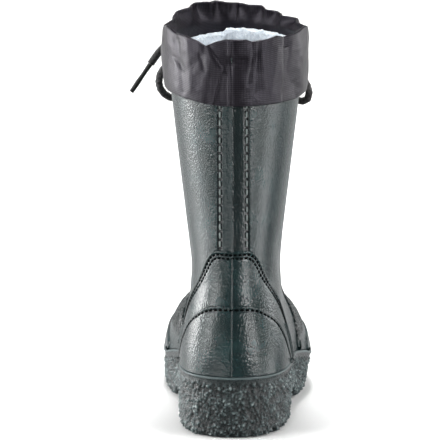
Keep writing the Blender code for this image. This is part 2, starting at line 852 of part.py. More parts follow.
def off_knot(middle, way, out):
    """The point that far off the knot, where the knot's surface faces that way."""
    half = Vector((KNOT_WIDTH, KNOT_DEPTH, KNOT_WIDTH)) / 2
    way = Vector(way).normalized()
    stretched = Vector(a * b for a, b in zip(way, half))
    surface = Vector(a * b for a, b in zip(stretched, half)) / stretched.length
    return middle + surface + way * out


# Routes of the cord in knot widths, from the knot's middle. The first row, and a loop's last
# row, is only the way in which the cord leaves the knot.
LEFT_LOOP = (
    # across, ahead, up
    (-1.00, 0.00, -0.10),
    (-2.40, -0.55, -0.58),
    (-3.30, -1.65, -0.95),
    (-3.66, -2.15, -1.45),
    (-3.58, -2.15, -2.05),
    (-3.10, -1.75, -2.50),
    (-2.10, -0.70, -2.50),
    (-1.10, 0.02, -1.60),
    (-0.64, 0.00, -0.77),
)
RIGHT_LOOP = (
    # across, ahead, up
    (1.00, 0.00, -0.10),
    (2.35, -0.55, -0.82),
    (3.05, -1.60, -1.45),
    (3.42, -2.05, -2.00),
    (3.36, -2.05, -2.50),
    (2.90, -1.65, -2.62),
    (2.05, -0.65, -2.40),
    (1.10, 0.02, -1.50),
    (0.64, 0.00, -0.77),
)
LEFT_END = (
    # across, ahead, up
    (-0.80, 0.05, 0.60),
    (-1.60, -0.05, 0.56),
    (-2.80, -0.45, 0.24),
    (-3.62, -0.70, -0.34),
    (-4.13, -0.74, -1.03),
)
RIGHT_END = (
    # across, ahead, up
    (0.05, 0.50, -0.87),
    (0.20, 0.32, -1.60),
    (0.42, 0.26, -3.00),
    (0.50, 0.18, -4.40),
)


def cord_points(middle, route, returns):
    """Points of one stretch of the cord, from the knot, and back to it where it returns."""
    stops = [middle + Vector(stop) * KNOT_WIDTH for stop in route]
    straight = GAP + 0.8 * CORD_WIDTH
    first = off_knot(middle, route[0], GAP)
    stops[0] = off_knot(middle, route[0], straight)
    if not returns:
        return [first] + smooth_route(stops, CORD_STEP * CORD_WIDTH)
    stops[-1] = off_knot(middle, route[-1], straight)
    last = off_knot(middle, route[-1], GAP)
    return [first] + smooth_route(stops, CORD_STEP * CORD_WIDTH) + [last]


def bow():
    """The drawstring's bow ahead of the cuff: knot, two loops and two ends with their tips."""
    middle = knot_centre()
    shape = bmesh.new()
    bmesh.ops.create_uvsphere(shape, u_segments=14, v_segments=9, radius=0.5)
    size = Vector((KNOT_WIDTH, KNOT_DEPTH, KNOT_WIDTH))
    for vert in shape.verts:
        vert.co = middle + Vector(a * b for a, b in zip(vert.co, size))
    finished("bow_knot", shape, "cord black")
    for side, route in (("left", LEFT_LOOP), ("right", RIGHT_LOOP)):
        tube(f"bow_loop_{side}", cord_points(middle, route, True), CORD_WIDTH, "cord black")
    for side, route in (("left", LEFT_END), ("right", RIGHT_END)):
        points = cord_points(middle, route, False)
        tube(f"cord_end_{side}", points, CORD_WIDTH, "cord black")
        ahead = (points[-1] - points[-2]).normalized()
        first = points[-1] + ahead * GAP
        tube(f"aglet_{side}", [first, first + ahead * AGLET_LENGTH], AGLET_WIDTH, "aglet black")


def main():
    clear_scene()
    turns = all_turns()
    outsole(turns)
    upper_with_forms(turns)
    insole(turns)
    cuff()
    bow()


main()
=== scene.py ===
"""The looks of an insulated winter boot, right foot, seen from behind.

Metres, +Z up, the toe towards +Y and the outer side of the foot towards +X.
A point on the upper is named by its turn round the boot (0 at the back, pi at the
toe by way of the outer side) and its height over the floor.
"""

import math

import bpy
import numpy as np
from mathutils import Matrix, Vector, noise


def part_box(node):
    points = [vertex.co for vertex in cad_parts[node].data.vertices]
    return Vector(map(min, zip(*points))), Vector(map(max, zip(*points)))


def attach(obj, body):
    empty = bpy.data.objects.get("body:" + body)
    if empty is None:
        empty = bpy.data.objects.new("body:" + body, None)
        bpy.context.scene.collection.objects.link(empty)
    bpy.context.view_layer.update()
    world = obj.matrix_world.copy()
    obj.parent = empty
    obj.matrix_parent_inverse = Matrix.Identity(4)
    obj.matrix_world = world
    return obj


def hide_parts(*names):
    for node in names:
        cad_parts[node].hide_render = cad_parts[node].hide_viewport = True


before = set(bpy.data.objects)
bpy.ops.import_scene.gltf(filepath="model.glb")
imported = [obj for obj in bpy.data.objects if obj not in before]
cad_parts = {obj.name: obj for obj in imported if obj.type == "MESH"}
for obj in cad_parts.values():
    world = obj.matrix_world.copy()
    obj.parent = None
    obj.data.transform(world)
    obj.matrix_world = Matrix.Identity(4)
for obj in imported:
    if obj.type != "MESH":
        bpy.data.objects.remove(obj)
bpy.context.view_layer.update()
# The grain's noise has a seed, so that its crumbs are the same at each run.
noise.seed_set(1)

# Sizes of the upper and the sole, as their solids have them
UPPER_LENGTH = 0.293
HEEL_WIDTH = 0.0818
BALL_WIDTH = 0.1115
ANKLE_WIDTH = 0.067
ANKLE_HEIGHT = 0.1155
COLLAR_WIDTH = 0.105
COLLAR_DEPTH = 0.142
COLLAR_HEIGHT = 0.2915
TOE_SWING = 0.0075
BALL_SKEW = 0.12
UPPER_WALL = 0.0040
HEEL_LINE = 0.0469
HEEL_SEAT = 0.028
SOLE_PROUD = 0.0013
LIP_HEIGHT = 0.0026
LIP_PROUD = 0.0009
COUNTER_TOP = 0.1410
HEEL_CAP_TOP = 0.1000
RAND_HEIGHT = 0.0165
RAND_PROUD = 0.0010
COUNTER_REACH = 0.300
HEEL_CAP_REACH = 0.232
VAMP_START = 0.450
VAMP_LEAN = 0.40
RAND_START = 0.567
OUTER_WAIST = 0.05
INNER_WAIST = 0.13
WAIST_PLACE = 0.40
SWING_START = 0.30
SKEW_START = 0.35
CORD_WIDTH = 0.0056
AGLET_WIDTH = 0.0036
AGLET_LENGTH = 0.026
KNOT_WIDTH = 0.0160
KNOT_DEPTH = 0.0105
GAP = 0.0003
HEEL_CENTRE = HEEL_WIDTH / 2
MM = 0.001
FORM_WALL = 1.6 * MM

# Levels of the foot: level as a share of ANKLE_HEIGHT, back and front as shares of
# UPPER_LENGTH, heel and ball as how far the half width goes from the ankle's to the
# heel's or the ball's, and how square the two ends are.
FOOT_LEVELS = (
    # level, back, front, heel, ball, back_square, toe_square
    (0.100, 0.0080, 0.985, 0.80, 0.98, 7.0, 4.6),
    (0.235, 0.0045, 1.000, 0.92, 1.00, 7.0, 4.4),
    (0.298, 0.0036, 1.000, 0.95, 0.96, 7.0, 4.4),
    (0.404, 0.0020, 0.992, 1.00, 0.80, 6.8, 4.1),
    (0.491, 0.0018, 0.962, 0.97, 0.64, 6.4, 3.6),
    (0.561, 0.0034, 0.912, 0.91, 0.48, 5.9, 3.2),
    (0.632, 0.0062, 0.832, 0.79, 0.28, 5.2, 2.95),
    (0.719, 0.0105, 0.728, 0.59, 0.10, 4.4, 2.7),
    (0.825, 0.0170, 0.630, 0.33, 0.03, 3.6, 2.5),
    (0.930, 0.0235, 0.562, 0.11, 0.01, 2.9, 2.3),
    (1.000, 0.0275, 0.530, 0.00, 0.00, 2.6, 2.2),
)
# Levels of the shaft: rise from the ankle to the collar, back and depth as shares of
# COLLAR_DEPTH, and how far the half width goes from the ankle's to the collar's.
SHAFT_LEVELS = (
    # rise, back, depth, half, square
    (0.119, 0.064, 0.950, 0.070, 2.30),
    (0.261, 0.063, 0.915, 0.215, 2.15),
    (0.489, 0.049, 0.922, 0.470, 2.08),
    (0.773, 0.027, 0.966, 0.774, 2.03),
    (1.000, 0.010, 1.000, 1.000, 2.00),
)
# Side view of the sole: place as a share of UPPER_LENGTH, the line where the upper
# meets it as a share of HEEL_LINE, and the bed inside as a share of HEEL_SEAT.
SOLE_PROFILE = (
    # place, line, seat
    (-0.05, 1.00, 1.00),
    (0.10, 1.00, 1.00),
    (0.25, 1.00, 0.97),
    (0.36, 0.95, 0.86),
    (0.50, 0.80, 0.66),
    (0.66, 0.61, 0.52),
    (0.80, 0.60, 0.53),
    (0.92, 0.69, 0.68),
    (1.05, 0.84, 0.90),
)
# Outlines of the counter and of the heel cap: the place forward as a share of the form's reach,
# and how far its edge has come down there from its top to the sole's line.
COUNTER_OUTLINE = (
    # place, drop
    (0.00, 0.00),
    (0.13, 0.00),
    (0.18, 0.03),
    (0.22, 0.09),
    (0.27, 0.18),
    (0.36, 0.30),
    (0.50, 0.46),
    (0.75, 0.745),
    (1.00, 1.00),
)
HEEL_CAP_OUTLINE = (
    # place, drop
    (0.00, 0.00),
    (0.09, 0.00),
    (0.16, 0.025),
    (0.28, 0.13),
    (0.43, 0.29),
    (0.57, 0.50),
    (0.70, 0.70),
    (0.85, 0.87),
    (1.00, 1.00),
)


# Small helpers
def mix(low, high, share):
    return low + (high - low) * share


def ease(share):
    """0 below 0, 1 above 1 and a smooth rise between."""
    share = np.clip(share, 0.0, 1.0)
    return share * share * (3 - 2 * share)


def dot(a, b):
    return np.sum(a * b, axis=-1)


def unit(vectors):
    return vectors / np.maximum(np.linalg.norm(vectors, axis=-1, keepdims=True), 1e-12)


def smooth_step(t, low, high, leave, arrive):
    """A smooth way from low to high as t goes from 0 to 1, with a slope at each end."""
    near = low * (2 * t**3 - 3 * t**2 + 1) + leave * (t**3 - 2 * t**2 + t)
    return near + high * (3 * t**2 - 2 * t**3) + arrive * (t**3 - t**2)


def curve_through(rows):
    """A function that gives the columns after the first, smoothly, at any places."""
    table = np.array(rows)
    places, values = table[:, 0], table[:, 1:]
    steps = np.diff(values, axis=0) / np.diff(places)[:, None]
    slopes = np.vstack([steps[:1], np.zeros_like(values[1:-1]), steps[-1:]])
    along = steps[:-1] * steps[1:] > 0
    total = np.where(along, steps[:-1] + steps[1:], 1.0)
    slopes[1:-1] = np.where(along, 2 * steps[:-1] * steps[1:] / total, 0.0)

    def at(place):
        place = np.clip(place, places[0], places[-1])
        i = np.clip(np.searchsorted(places, place) - 1, 0, len(places) - 2)
        width = (places[i + 1] - places[i])[..., None]
        t = (place - places[i])[..., None] / width
        return smooth_step(t, values[i], values[i + 1], slopes[i] * width, slopes[i + 1] * width)

    return at


# The upper's form
def levels_in_metres():
    """Both tables of levels as rows of height, back, front, heel half, ball half, back and toe."""
    ankle, heel, ball, collar = (w / 2 for w in (ANKLE_WIDTH, HEEL_WIDTH, BALL_WIDTH, COLLAR_WIDTH))
    rows = []
    for level, back, front, to_heel, to_ball, back_square, toe_square in FOOT_LEVELS:
        halves = mix(ankle, heel, to_heel), mix(ankle, ball, to_ball)
        ends = back * UPPER_LENGTH, front * UPPER_LENGTH
        rows.append((level * ANKLE_HEIGHT, *ends, *halves, back_square, toe_square))
    for rise, back, depth, to_collar, square in SHAFT_LEVELS:
        half = mix(ankle, collar, to_collar)
        ends = back * COLLAR_DEPTH, (back + depth) * COLLAR_DEPTH
        rows.append((mix(ANKLE_HEIGHT, COLLAR_HEIGHT, rise), *ends, half, half, square, square))
    return rows


level_at = curve_through(levels_in_metres())
profile_at = curve_through(SOLE_PROFILE)


def line_height(y):
    """Height of the line where the upper meets the sole, y from the middle of the heel."""
    return profile_at((y + HEEL_CENTRE) / UPPER_LENGTH)[..., 0] * HEEL_LINE


def seat_height(y):
    return profile_at((y + HEEL_CENTRE) / UPPER_LENGTH)[..., 1] * HEEL_SEAT


def upper_point(turn, height):
    """Points of the upper's outside at those turns and heights."""
    turn, height = np.broadcast_arrays(np.asarray(turn, float), np.asarray(height, float))
    back, front, heel, ball, back_square, toe_square = np.moveaxis(level_at(height), -1, 0)
    place = (1 - np.cos(turn)) / 2
    y = mix(back, front, place)
    square = np.where(place < 0.5, back_square, toe_square)
    reach = np.sqrt(np.maximum(0.0, 1 - np.abs(2 * place - 1) ** square))
    outer = np.sin(turn) >= 0
    low = 1 - ease((height - 0.30 * ANKLE_HEIGHT) / (0.75 * ANKLE_HEIGHT))
    drawn_in = np.where(outer, OUTER_WAIST, INNER_WAIST)
    waist = drawn_in * low * np.exp(-(((place - WAIST_PLACE) / 0.13) ** 2))
    half = mix(heel, ball, ease((place - 0.12) / 0.56)) * reach * (1 - waist)
    x = np.where(outer, half, -half)
    ahead = np.maximum(0.0, y / UPPER_LENGTH - SWING_START) / (1 - SWING_START)
    x = x - TOE_SWING * ahead**1.6
    y = y - BALL_SKEW * x * ease((y / UPPER_LENGTH - SKEW_START) / SKEW_START)
    return np.stack([x, y - HEEL_CENTRE, height], axis=-1)


def ways_on(turn, height):
    """How a point moves with the turn and with the height, and the outward normal there."""
    small_turn, small_rise = 0.01, 0.0002
    past, before = (upper_point(turn + step, height) for step in (small_turn, -small_turn))
    above, below = (upper_point(turn, height + step) for step in (small_rise, -small_rise))
    around = (past - before) / (2 * small_turn)
    up = (above - below) / (2 * small_rise)
    return around, up, unit(np.cross(around, up))


# Soft troughs in the moulded foam where the ankle flexes, in metres from the heel's middle
CREASES = (
    # from x, y, z, to x, y, z, width, depth
    (-0.034, 0.060, 0.098, 0.026, 0.070, 0.100, 0.0085, -0.0011),
    (-0.030, 0.070, 0.116, 0.028, 0.074, 0.118, 0.0095, -0.0009),
    (-0.034, 0.086, 0.086, 0.020, 0.094, 0.086, 0.0080, -0.0008),
    (-0.034, 0.030, 0.120, -0.033, 0.012, 0.134, 0.0100, -0.0006),
    (0.034, 0.028, 0.122, 0.033, 0.010, 0.136, 0.0100, -0.0006),
)


def from_segment(points, start, end):
    """Distance of points from the segment between start and end."""
    start, way = np.array(start), np.array(end) - np.array(start)
    share = np.clip(dot(points - start, way) / dot(way, way), 0.0, 1.0)
    return np.linalg.norm(points - start - way * share[..., None], axis=-1)


def creases(points):
    depth = np.zeros(points.shape[:-1])
    for row in CREASES:
        depth += row[7] * np.exp(-((from_segment(points, row[0:3], row[3:6]) / row[6]) ** 2))
    return depth


def skin(turn, height, out=0.0):
    """Points that far out from the upper's outside, with its soft creases."""
    point = upper_point(turn, height)
    normal = ways_on(turn, height)[2]
    return point + normal * (out + creases(point))[..., None]


def plan_skin(turn, height, out=0.0):
    """The same, moved level with the floor only."""
    normal = ways_on(turn, height)[2] * np.array([1.0, 1.0, 0.0])
    return upper_point(turn, height) + unit(normal) * np.asarray(out)[..., None]


def on_line(turn, line, extra=0.0):
    """The heights at which turns meet the curve line(y), plus extra."""
    height = np.full(np.shape(turn), HEEL_LINE)
    for _ in range(12):
        height = line(upper_point(turn, height)[..., 1]) + extra
    return height


def along(points):
    """Distance walked along a line of points."""
    steps = np.linalg.norm(np.diff(points, axis=0), axis=-1)
    return np.concatenate([[0.0], np.cumsum(steps)])


def at_places(where, walked, points):
    """The points of a line at places, each place being a distance walked along it."""
    return np.stack([np.interp(where, walked, points[:, k]) for k in range(3)], axis=-1)


def even_turns(count, height):
    """A function from shares, 0 to 1, to turns from the toe's inner side over the back to the outer,
    evenly spaced at a height."""
    fine = np.linspace(-math.pi, math.pi, 2000)
    walked = along(upper_point(fine, height))
    turns = np.interp(np.linspace(0, walked[-1], count), walked, fine)
    shares = np.linspace(0, 1, count)
    return lambda share: np.interp(share, shares, turns)


def slide(turn, height, way, distance):
    """Moves points over the surface in a direction, by a distance in metres."""
    steps = 4
    for _ in range(steps):
        around, up, _ = ways_on(turn, height)
        a, b, c = dot(around, around), dot(around, up), dot(up, up)
        p, q = dot(way, around), dot(way, up)
        whole = np.maximum(a * c - b * b, 1e-12)
        turn = turn + (c * p - b * q) / whole * distance / steps
        height = height + (a * q - b * p) / whole * distance / steps
    return turn, height


def inward_ways(turn, height):
    """The way in the surface that is square to a border and points to its right as it is walked."""
    points = upper_point(turn, height)
    tangent = unit(np.gradient(points, axis=0))
    return unit(np.cross(tangent, ways_on(turn, height)[2]))


def resampled(turn, height, count):
    """The same border with evenly spaced points."""
    walked = along(upper_point(turn, height))
    even = np.linspace(0, walked[-1], count)
    return np.interp(even, walked, turn), np.interp(even, walked, height)


def top_of(turn, inside, low, high):
    """For each turn the height between low and high where a column leaves a region."""
    low, high = low.copy(), np.full(np.shape(turn), high)
    for _ in range(34):
        middle = (low + high) / 2
        within = inside(upper_point(turn, middle))
        low, high = np.where(within, middle, low), np.where(within, high, middle)
    return low


# Ways of making pieces
def deselect():
    bpy.ops.object.select_all(action="DESELECT")


def pick(piece):
    deselect()
    piece.select_set(True)
    bpy.context.view_layer.objects.active = piece


def patch(name, columns, rows, place):
    """A sheet shaped from a grid. place(u, v) gives its points, and its UV map keeps u and v."""
    deselect()
    bpy.ops.mesh.primitive_grid_add(x_subdivisions=columns, y_subdivisions=rows, size=1.0)
    piece = bpy.context.object
    piece.name = piece.data.name = name
    flat = np.empty(len(piece.data.vertices) * 3)
    piece.data.vertices.foreach_get("co", flat)
    u, v, _ = flat.reshape(-1, 3).T
    points = place(np.clip(u + 0.5, 0.0, 1.0), np.clip(v + 0.5, 0.0, 1.0))
    piece.data.vertices.foreach_set("co", points.ravel())
    piece.data.update()
    return piece


def edit_whole(piece):
    """Opens a piece in edit mode with all of it selected."""
    pick(piece)
    bpy.ops.object.mode_set(mode="EDIT")
    bpy.ops.mesh.select_all(action="SELECT")


def welded(piece, outward=True):
    """Merges a piece's doubles and turns its faces out."""
    edit_whole(piece)
    bpy.ops.mesh.remove_doubles(threshold=1e-6)
    if outward:
        bpy.ops.mesh.normals_make_consistent(inside=False)
    bpy.ops.object.mode_set(mode="OBJECT")
    return piece


def flipped(piece):
    edit_whole(piece)
    bpy.ops.mesh.flip_normals()
    bpy.ops.object.mode_set(mode="OBJECT")
    return piece


def apply_modifier(piece, kind, **settings):
    pick(piece)
    modifier = piece.modifiers.new(kind.lower(), kind)
    for name, value in settings.items():
        setattr(modifier, name, value)
    bpy.ops.object.modifier_apply(modifier=modifier.name)
    return piece


def thickened(piece, wall):
    """Gives a sheet its wall, on the side away from its normals."""
    return apply_modifier(piece, "SOLIDIFY", thickness=wall, offset=-1.0, use_even_offset=False)


def facing_out(piece):
    """Turns a sheet over if it faces the boot's inside."""
    away = 0.0
    for face in piece.data.polygons:
        way = face.center - Vector((0, 0.04, face.center.z))
        away += way.dot(face.normal) * face.area
    return piece if away > 0 else flipped(piece)


def given(piece, finish, body="root", smooth=50):
    """Material, slot, body and smooth shading of a piece."""
    piece.data.materials.clear()
    piece.data.materials.append(finish)
    pick(piece)
    if smooth >= 180:
        bpy.ops.object.shade_smooth()
    else:
        bpy.ops.object.shade_smooth_by_angle(angle=math.radians(smooth))
    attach(piece, body)
    return piece


def joined(name, pieces):
    deselect()
    for piece in pieces:
        piece.select_set(True)
    bpy.context.view_layer.objects.active = pieces[0]
    bpy.ops.object.join()
    made = bpy.context.object
    made.name = made.data.name = name
    return made


def marked(piece, name, values):
    """Keeps a number for each point as an attribute that the material reads."""
    attribute = piece.data.attributes.new(name, "FLOAT", "POINT")
    attribute.data.foreach_set("value", np.asarray(values, dtype=np.float32).ravel())
    return piece


def points_of(piece):
    flat = np.empty(len(piece.data.vertices) * 3)
    piece.data.vertices.foreach_get("co", flat)
    return flat.reshape(-1, 3)


def normals_of(piece):
    flat = np.empty(len(piece.data.vertices) * 3)
    piece.data.vertex_normals.foreach_get("vector", flat)
    return flat.reshape(-1, 3)


def set_points(piece, points):
    piece.data.vertices.foreach_set("co", points.ravel())
    piece.data.update()


# Materials
def colour(code):
    """An sRGB hex colour as the linear values that a shader reads."""
    parts = [int(code[i : i + 2], 16) / 255 for i in (1, 3, 5)]
    return (*[c / 12.92 if c <= 0.04045 else ((c + 0.055) / 1.055) ** 2.4 for c in parts], 1.0)


def add(tree, kind, inputs=None, **settings):
    """A node with its settings. An input gets a value, or the output of another node."""
    made = tree.nodes.new(kind)
    for name, value in settings.items():
        setattr(made, name, value)
    for name, value in (inputs or {}).items():
        if isinstance(value, bpy.types.NodeSocket):
            tree.links.new(value, made.inputs[name])
        else:
            made.inputs[name].default_value = value
    return made


def new_material(name, **values):
    """A named material and its tree, shader and object coordinates."""
    made = bpy.data.materials.new(name)
    made.use_nodes = True
    tree = made.node_tree
    shader = tree.nodes["Principled BSDF"]
    for socket, value in values.items():
        shader.inputs[socket.replace("_", " ")].default_value = value
    place = tree.nodes.new("ShaderNodeTexCoord").outputs["Object"]
    return made, tree, shader, place


def ramp(tree, value, *stops):
    """A colour ramp: each stop is its place and its hex colour."""
    made = add(tree, "ShaderNodeValToRGB", {"Fac": value})
    elements = made.color_ramp.elements
    for i, (position, code) in enumerate((stops[0], stops[-1])):
        elements[i].position = position
        elements[i].color = colour(code)
    for position, code in stops[1:-1]:
        elements.new(position).color = colour(code)
    return made.outputs["Color"]


def between(tree, value, low, high):
    """Spreads a value from 0 to 1 over low to high."""
    inputs = {"Value": value, "To Min": low, "To Max": high}
    return add(tree, "ShaderNodeMapRange", inputs).outputs["Result"]


def times(tree, a, b, operation="MULTIPLY"):
    return add(tree, "ShaderNodeMath", {0: a, 1: b}, operation=operation).outputs[0]


def clouds(tree, place, scale, detail, roughness=0.5):
    """A cloudy pattern from 0 to 1, whose clouds are about 1 / scale metres apart."""
    inputs = {"Vector": place, "Scale": scale, "Detail": detail, "Roughness": roughness}
    return add(tree, "ShaderNodeTexNoise", inputs).outputs["Fac"]


def kept(tree, name):
    """The number that a piece keeps for each point under that name."""
    return add(tree, "ShaderNodeAttribute", attribute_name=name).outputs["Fac"]


def blend(tree, share, low, high):
    """The colour low where share is 0, high where it is 1."""
    return add(tree, "ShaderNodeMix", {0: share, 6: low, 7: high}, data_type="RGBA").outputs[2]


def surface(tree, shader, cover, height, strength, depth):
    """Gives a shader its colour, and a relief that is depth metres deep."""
    tree.links.new(cover, shader.inputs["Base Color"])
    bump = add(tree, "ShaderNodeBump", {"Height": height, "Strength": strength, "Distance": depth})
    tree.links.new(bump.outputs["Normal"], shader.inputs["Normal"])


def moulded_foam():
    """EVA foam, moulded against a leather-grained steel mould and left satin: dark slate green, with
    broad soft highlights that pebbles about 1.3 mm across break up. A per-point attribute darkens
    the colour as painted shade, most in the channels of the back strip and the clefts of the vamp,
    less over the rest of the vamp and over the strip's right half."""
    made, tree, shader, place = new_material("EVA foam, leather grain, satin", Roughness=0.27, IOR=1.55)
    patches = clouds(tree, place, 60.0, 3.0)
    cover = ramp(tree, patches, (0.30, "#0f2021"), (0.55, "#142728"), (0.75, "#193031"))
    # Painted shade: the colour goes darker as the attribute rises.
    cover = blend(tree, kept(tree, "painted_shade"), cover, colour("#0d1415"))
    surface(tree, shader, cover, clouds(tree, place, 760.0, 0.5), 1.0, 0.00034)
    return made


def plain_foam(name, code, roughness, shine=1.5):
    """The same foam where the mould was smooth, a little mottled: lip and imitation stitches. Their
    colours are painted: lighter for a painted highlight, near black for painted shade in the slots.
    """
    made, tree, shader, place = new_material(name, Roughness=roughness, IOR=shine)
    patches = clouds(tree, place, 300.0, 3.0)
    low, high = (tuple(min(1.0, c * k) for c in colour(code)[:3]) + (1.0,) for k in (0.8, 1.2))
    surface(tree, shader, blend(tree, patches, low, high), patches, 0.2, 0.0003)
    return made


def crepe_foam():
    """Denser moulded foam with a crepe-rubber grain: crumbs of 2 to 4 mm. The crumbs themselves are in
    the mesh, and their height is in the attribute crumb. The colour follows that height: painted
    shade in the clefts and a painted highlight on the crumbs' tops."""
    made, tree, shader, place = new_material("moulded foam sole, crepe grain", Roughness=0.36, IOR=1.5)
    fine = clouds(tree, place, 760.0, 4.0, 0.65)
    # Painted shade in the clefts, painted highlight on the tops.
    stops = (0.0, "#040606"), (0.40, "#1a2324"), (0.75, "#4c595a"), (1.0, "#98a3a1")
    surface(tree, shader, ramp(tree, kept(tree, "crumb"), *stops), fine, 0.7, 0.0009)
    tree.links.new(between(tree, fine, 0.16, 0.42), shader.inputs["Roughness"])
    return made


def woven_nylon():
    """Coated plain-weave nylon: charcoal with a violet cast, and a soft shine where a fold catches
    the light. Real threads are near 0.3 mm apart, too fine to show, so they are drawn 1.3 mm apart."""
    girth, height, thread = 0.40, 0.078, 0.0013
    made, tree, shader, place = new_material("coated nylon, plain weave", Roughness=0.30, IOR=1.37)
    shader.inputs["Specular Tint"].default_value = colour("#ebe6f5")
    uv = add(tree, "ShaderNodeUVMap").outputs["UV"]
    inputs = {0: uv, 1: (girth, height, 1.0)}
    metres = add(tree, "ShaderNodeVectorMath", inputs, operation="MULTIPLY").outputs[0]
    # A wave of scale s repeats every 0.314 / s metres.
    inputs = {"Vector": metres, "Scale": 0.314 / thread, "Distortion": 0.6, "Detail": 1.0}
    inputs["Detail Scale"] = 3.0
    waves = [add(tree, "ShaderNodeTexWave", inputs, bands_direction=way) for way in ("X", "Y")]
    weave = times(tree, waves[0].outputs["Fac"], waves[1].outputs["Fac"])
    patches = clouds(tree, place, 45.0, 4.0)
    cover = ramp(tree, patches, (0.30, "#0a090c"), (0.55, "#0f0d11"), (0.80, "#171419"))
    lit = blend(tree, times(tree, weave, 0.5), cover, colour("#413d45"))
    wrinkles = clouds(tree, place, 160.0, 4.0)
    relief = times(tree, times(tree, weave, 0.4), wrinkles, "ADD")
    surface(tree, shader, lit, relief, 0.5, 0.0006)
    return made


def pile_fleece():
    """White polyester pile: matt, soft, with a clumped surface, painted a little darker and bluer in
    the hollows between its clumps as painted shade.
    """
    made, tree, shader, place = new_material("white pile fleece", Roughness=0.95, Sheen_Weight=0.5)
    shader.inputs["Subsurface Weight"].default_value = 0.15
    shader.inputs["Subsurface Radius"].default_value = (0.002, 0.002, 0.002)
    clumps = clouds(tree, place, 500.0, 5.0, 0.7)
    cover = ramp(tree, clumps, (0.30, "#c3cfda"), (0.60, "#e6edf3"), (0.85, "#f7fafc"))
    surface(tree, shader, cover, clumps, 0.8, 0.002)
    return made


def braided_cord():
    """Black polyester braid: dull, its strands' tops painted lighter where they cross over, as painted
    highlight, and painted darker between them, as painted shade.
    """
    made, tree, shader, place = new_material("black polyester braid", Roughness=0.7, Sheen_Weight=0.2)
    strand = kept(tree, "strand")
    cover = ramp(tree, strand, (0.0, "#060606"), (0.6, "#161516"), (1.0, "#2c2a2b"))
    surface(tree, shader, cover, clouds(tree, place, 1600.0, 3.0), 0.6, 0.0006)
    return made


def tip_plastic():
    """Acetate film shrunk round the cord's end: black, smooth and glossy."""
    made, tree, shader, place = new_material("black acetate tip", Roughness=0.25, IOR=1.48)
    shader.inputs["Base Color"].default_value = colour("#151515")
    streaks = clouds(tree, place, 700.0, 2.0)
    tree.links.new(between(tree, streaks, 0.2, 0.42), shader.inputs["Roughness"])
    return made


def pale_floor():
    """Matt white studio paper."""
    made, tree, shader, place = new_material("matt white paper", Roughness=0.9)
    cover = ramp(tree, clouds(tree, place, 1.5, 2.0), (0.3, "#f4f4f3"), (0.7, "#f8f8f7"))
    tree.links.new(cover, shader.inputs["Base Color"])
    return made


GREEN = moulded_foam()
# The lip and the raised stitches are painted lighter than the foam, as painted highlight; the dark stitches
# are near black, painted shade where the moulded slots are.
PAINTED_HIGHLIGHT_LIP = plain_foam("EVA foam, smooth lip, painted highlight", "#4b5859", 0.38)
PAINTED_SHADE_STITCH = plain_foam("EVA foam, stitch slot, painted shade", "#040505", 0.90, shine=1.12)
PAINTED_HIGHLIGHT_STITCH = plain_foam("EVA foam, raised stitch, painted highlight", "#6c7674", 0.45)
CREPE = crepe_foam()
NYLON = woven_nylon()
FLEECE = pile_fleece()
BRAID = braided_cord()
TIP = tip_plastic()

# Camera, as the photo's: far behind the boot, a little above it and a little to its outer side
CAMERA_DISTANCE = 4.5
CAMERA_HEIGHT = math.radians(10.6)
CAMERA_SIDE = math.radians(2.0)
CAMERA_AIM = Vector((0.0, 0.0, 0.15))
PIXELS = 440
FOCAL_PIXELS = 6010.0
AIM_PIXEL = (234.0, 231.2)


def make_camera():
    level, rise = math.cos(CAMERA_HEIGHT), math.sin(CAMERA_HEIGHT)
    back = Vector((math.sin(CAMERA_SIDE) * level, -math.cos(CAMERA_SIDE) * level, rise))
    data = bpy.data.cameras.new("camera")
    data.sensor_width = 36.0
    data.lens = FOCAL_PIXELS / PIXELS * data.sensor_width
    data.shift_x = (PIXELS / 2 - AIM_PIXEL[0]) / PIXELS
    data.shift_y = (AIM_PIXEL[1] - PIXELS / 2) / PIXELS
    made = bpy.data.objects.new("camera", data)
    made.location = CAMERA_AIM + back * CAMERA_DISTANCE
    made.rotation_euler = (-back).to_track_quat("-Z", "Y").to_euler()
    bpy.context.scene.collection.objects.link(made)
    bpy.context.scene.camera = made


make_camera()

# Routes of the drawstring in knot widths, from the knot's middle. The first row, and a loop's
# last row, is only the way in which the cord leaves the knot.
LEFT_LOOP = (
    # across, ahead, up
    (-1.00, 0.00, -0.10),
    (-2.40, -0.55, -0.58),
    (-3.30, -1.65, -0.95),
    (-3.66, -2.15, -1.45),
    (-3.58, -2.15, -2.05),
    (-3.10, -1.75, -2.50),
    (-2.10, -0.70, -2.50),
    (-1.10, 0.02, -1.60),
    (-0.64, 0.00, -0.77),
)
RIGHT_LOOP = (
    # across, ahead, up
    (1.00, 0.00, -0.10),
    (2.35, -0.55, -0.82),
    (3.05, -1.60, -1.45),
    (3.42, -2.05, -2.00),
    (3.36, -2.05, -2.50),
    (2.90, -1.65, -2.62),
    (2.05, -0.65, -2.40),
    (1.10, 0.02, -1.50),
    (0.64, 0.00, -0.77),
)
LEFT_END = (
    # across, ahead, up
    (-0.80, 0.05, 0.60),
    (-1.60, -0.05, 0.56),
    (-2.80, -0.45, 0.24),
    (-3.62, -0.70, -0.34),
    (-4.13, -0.74, -1.03),
)
RIGHT_END = (
    # across, ahead, up
    (0.05, 0.50, -0.87),
    (0.20, 0.32, -1.60),
    (0.42, 0.26, -3.00),
    (0.50, 0.18, -4.40),
)


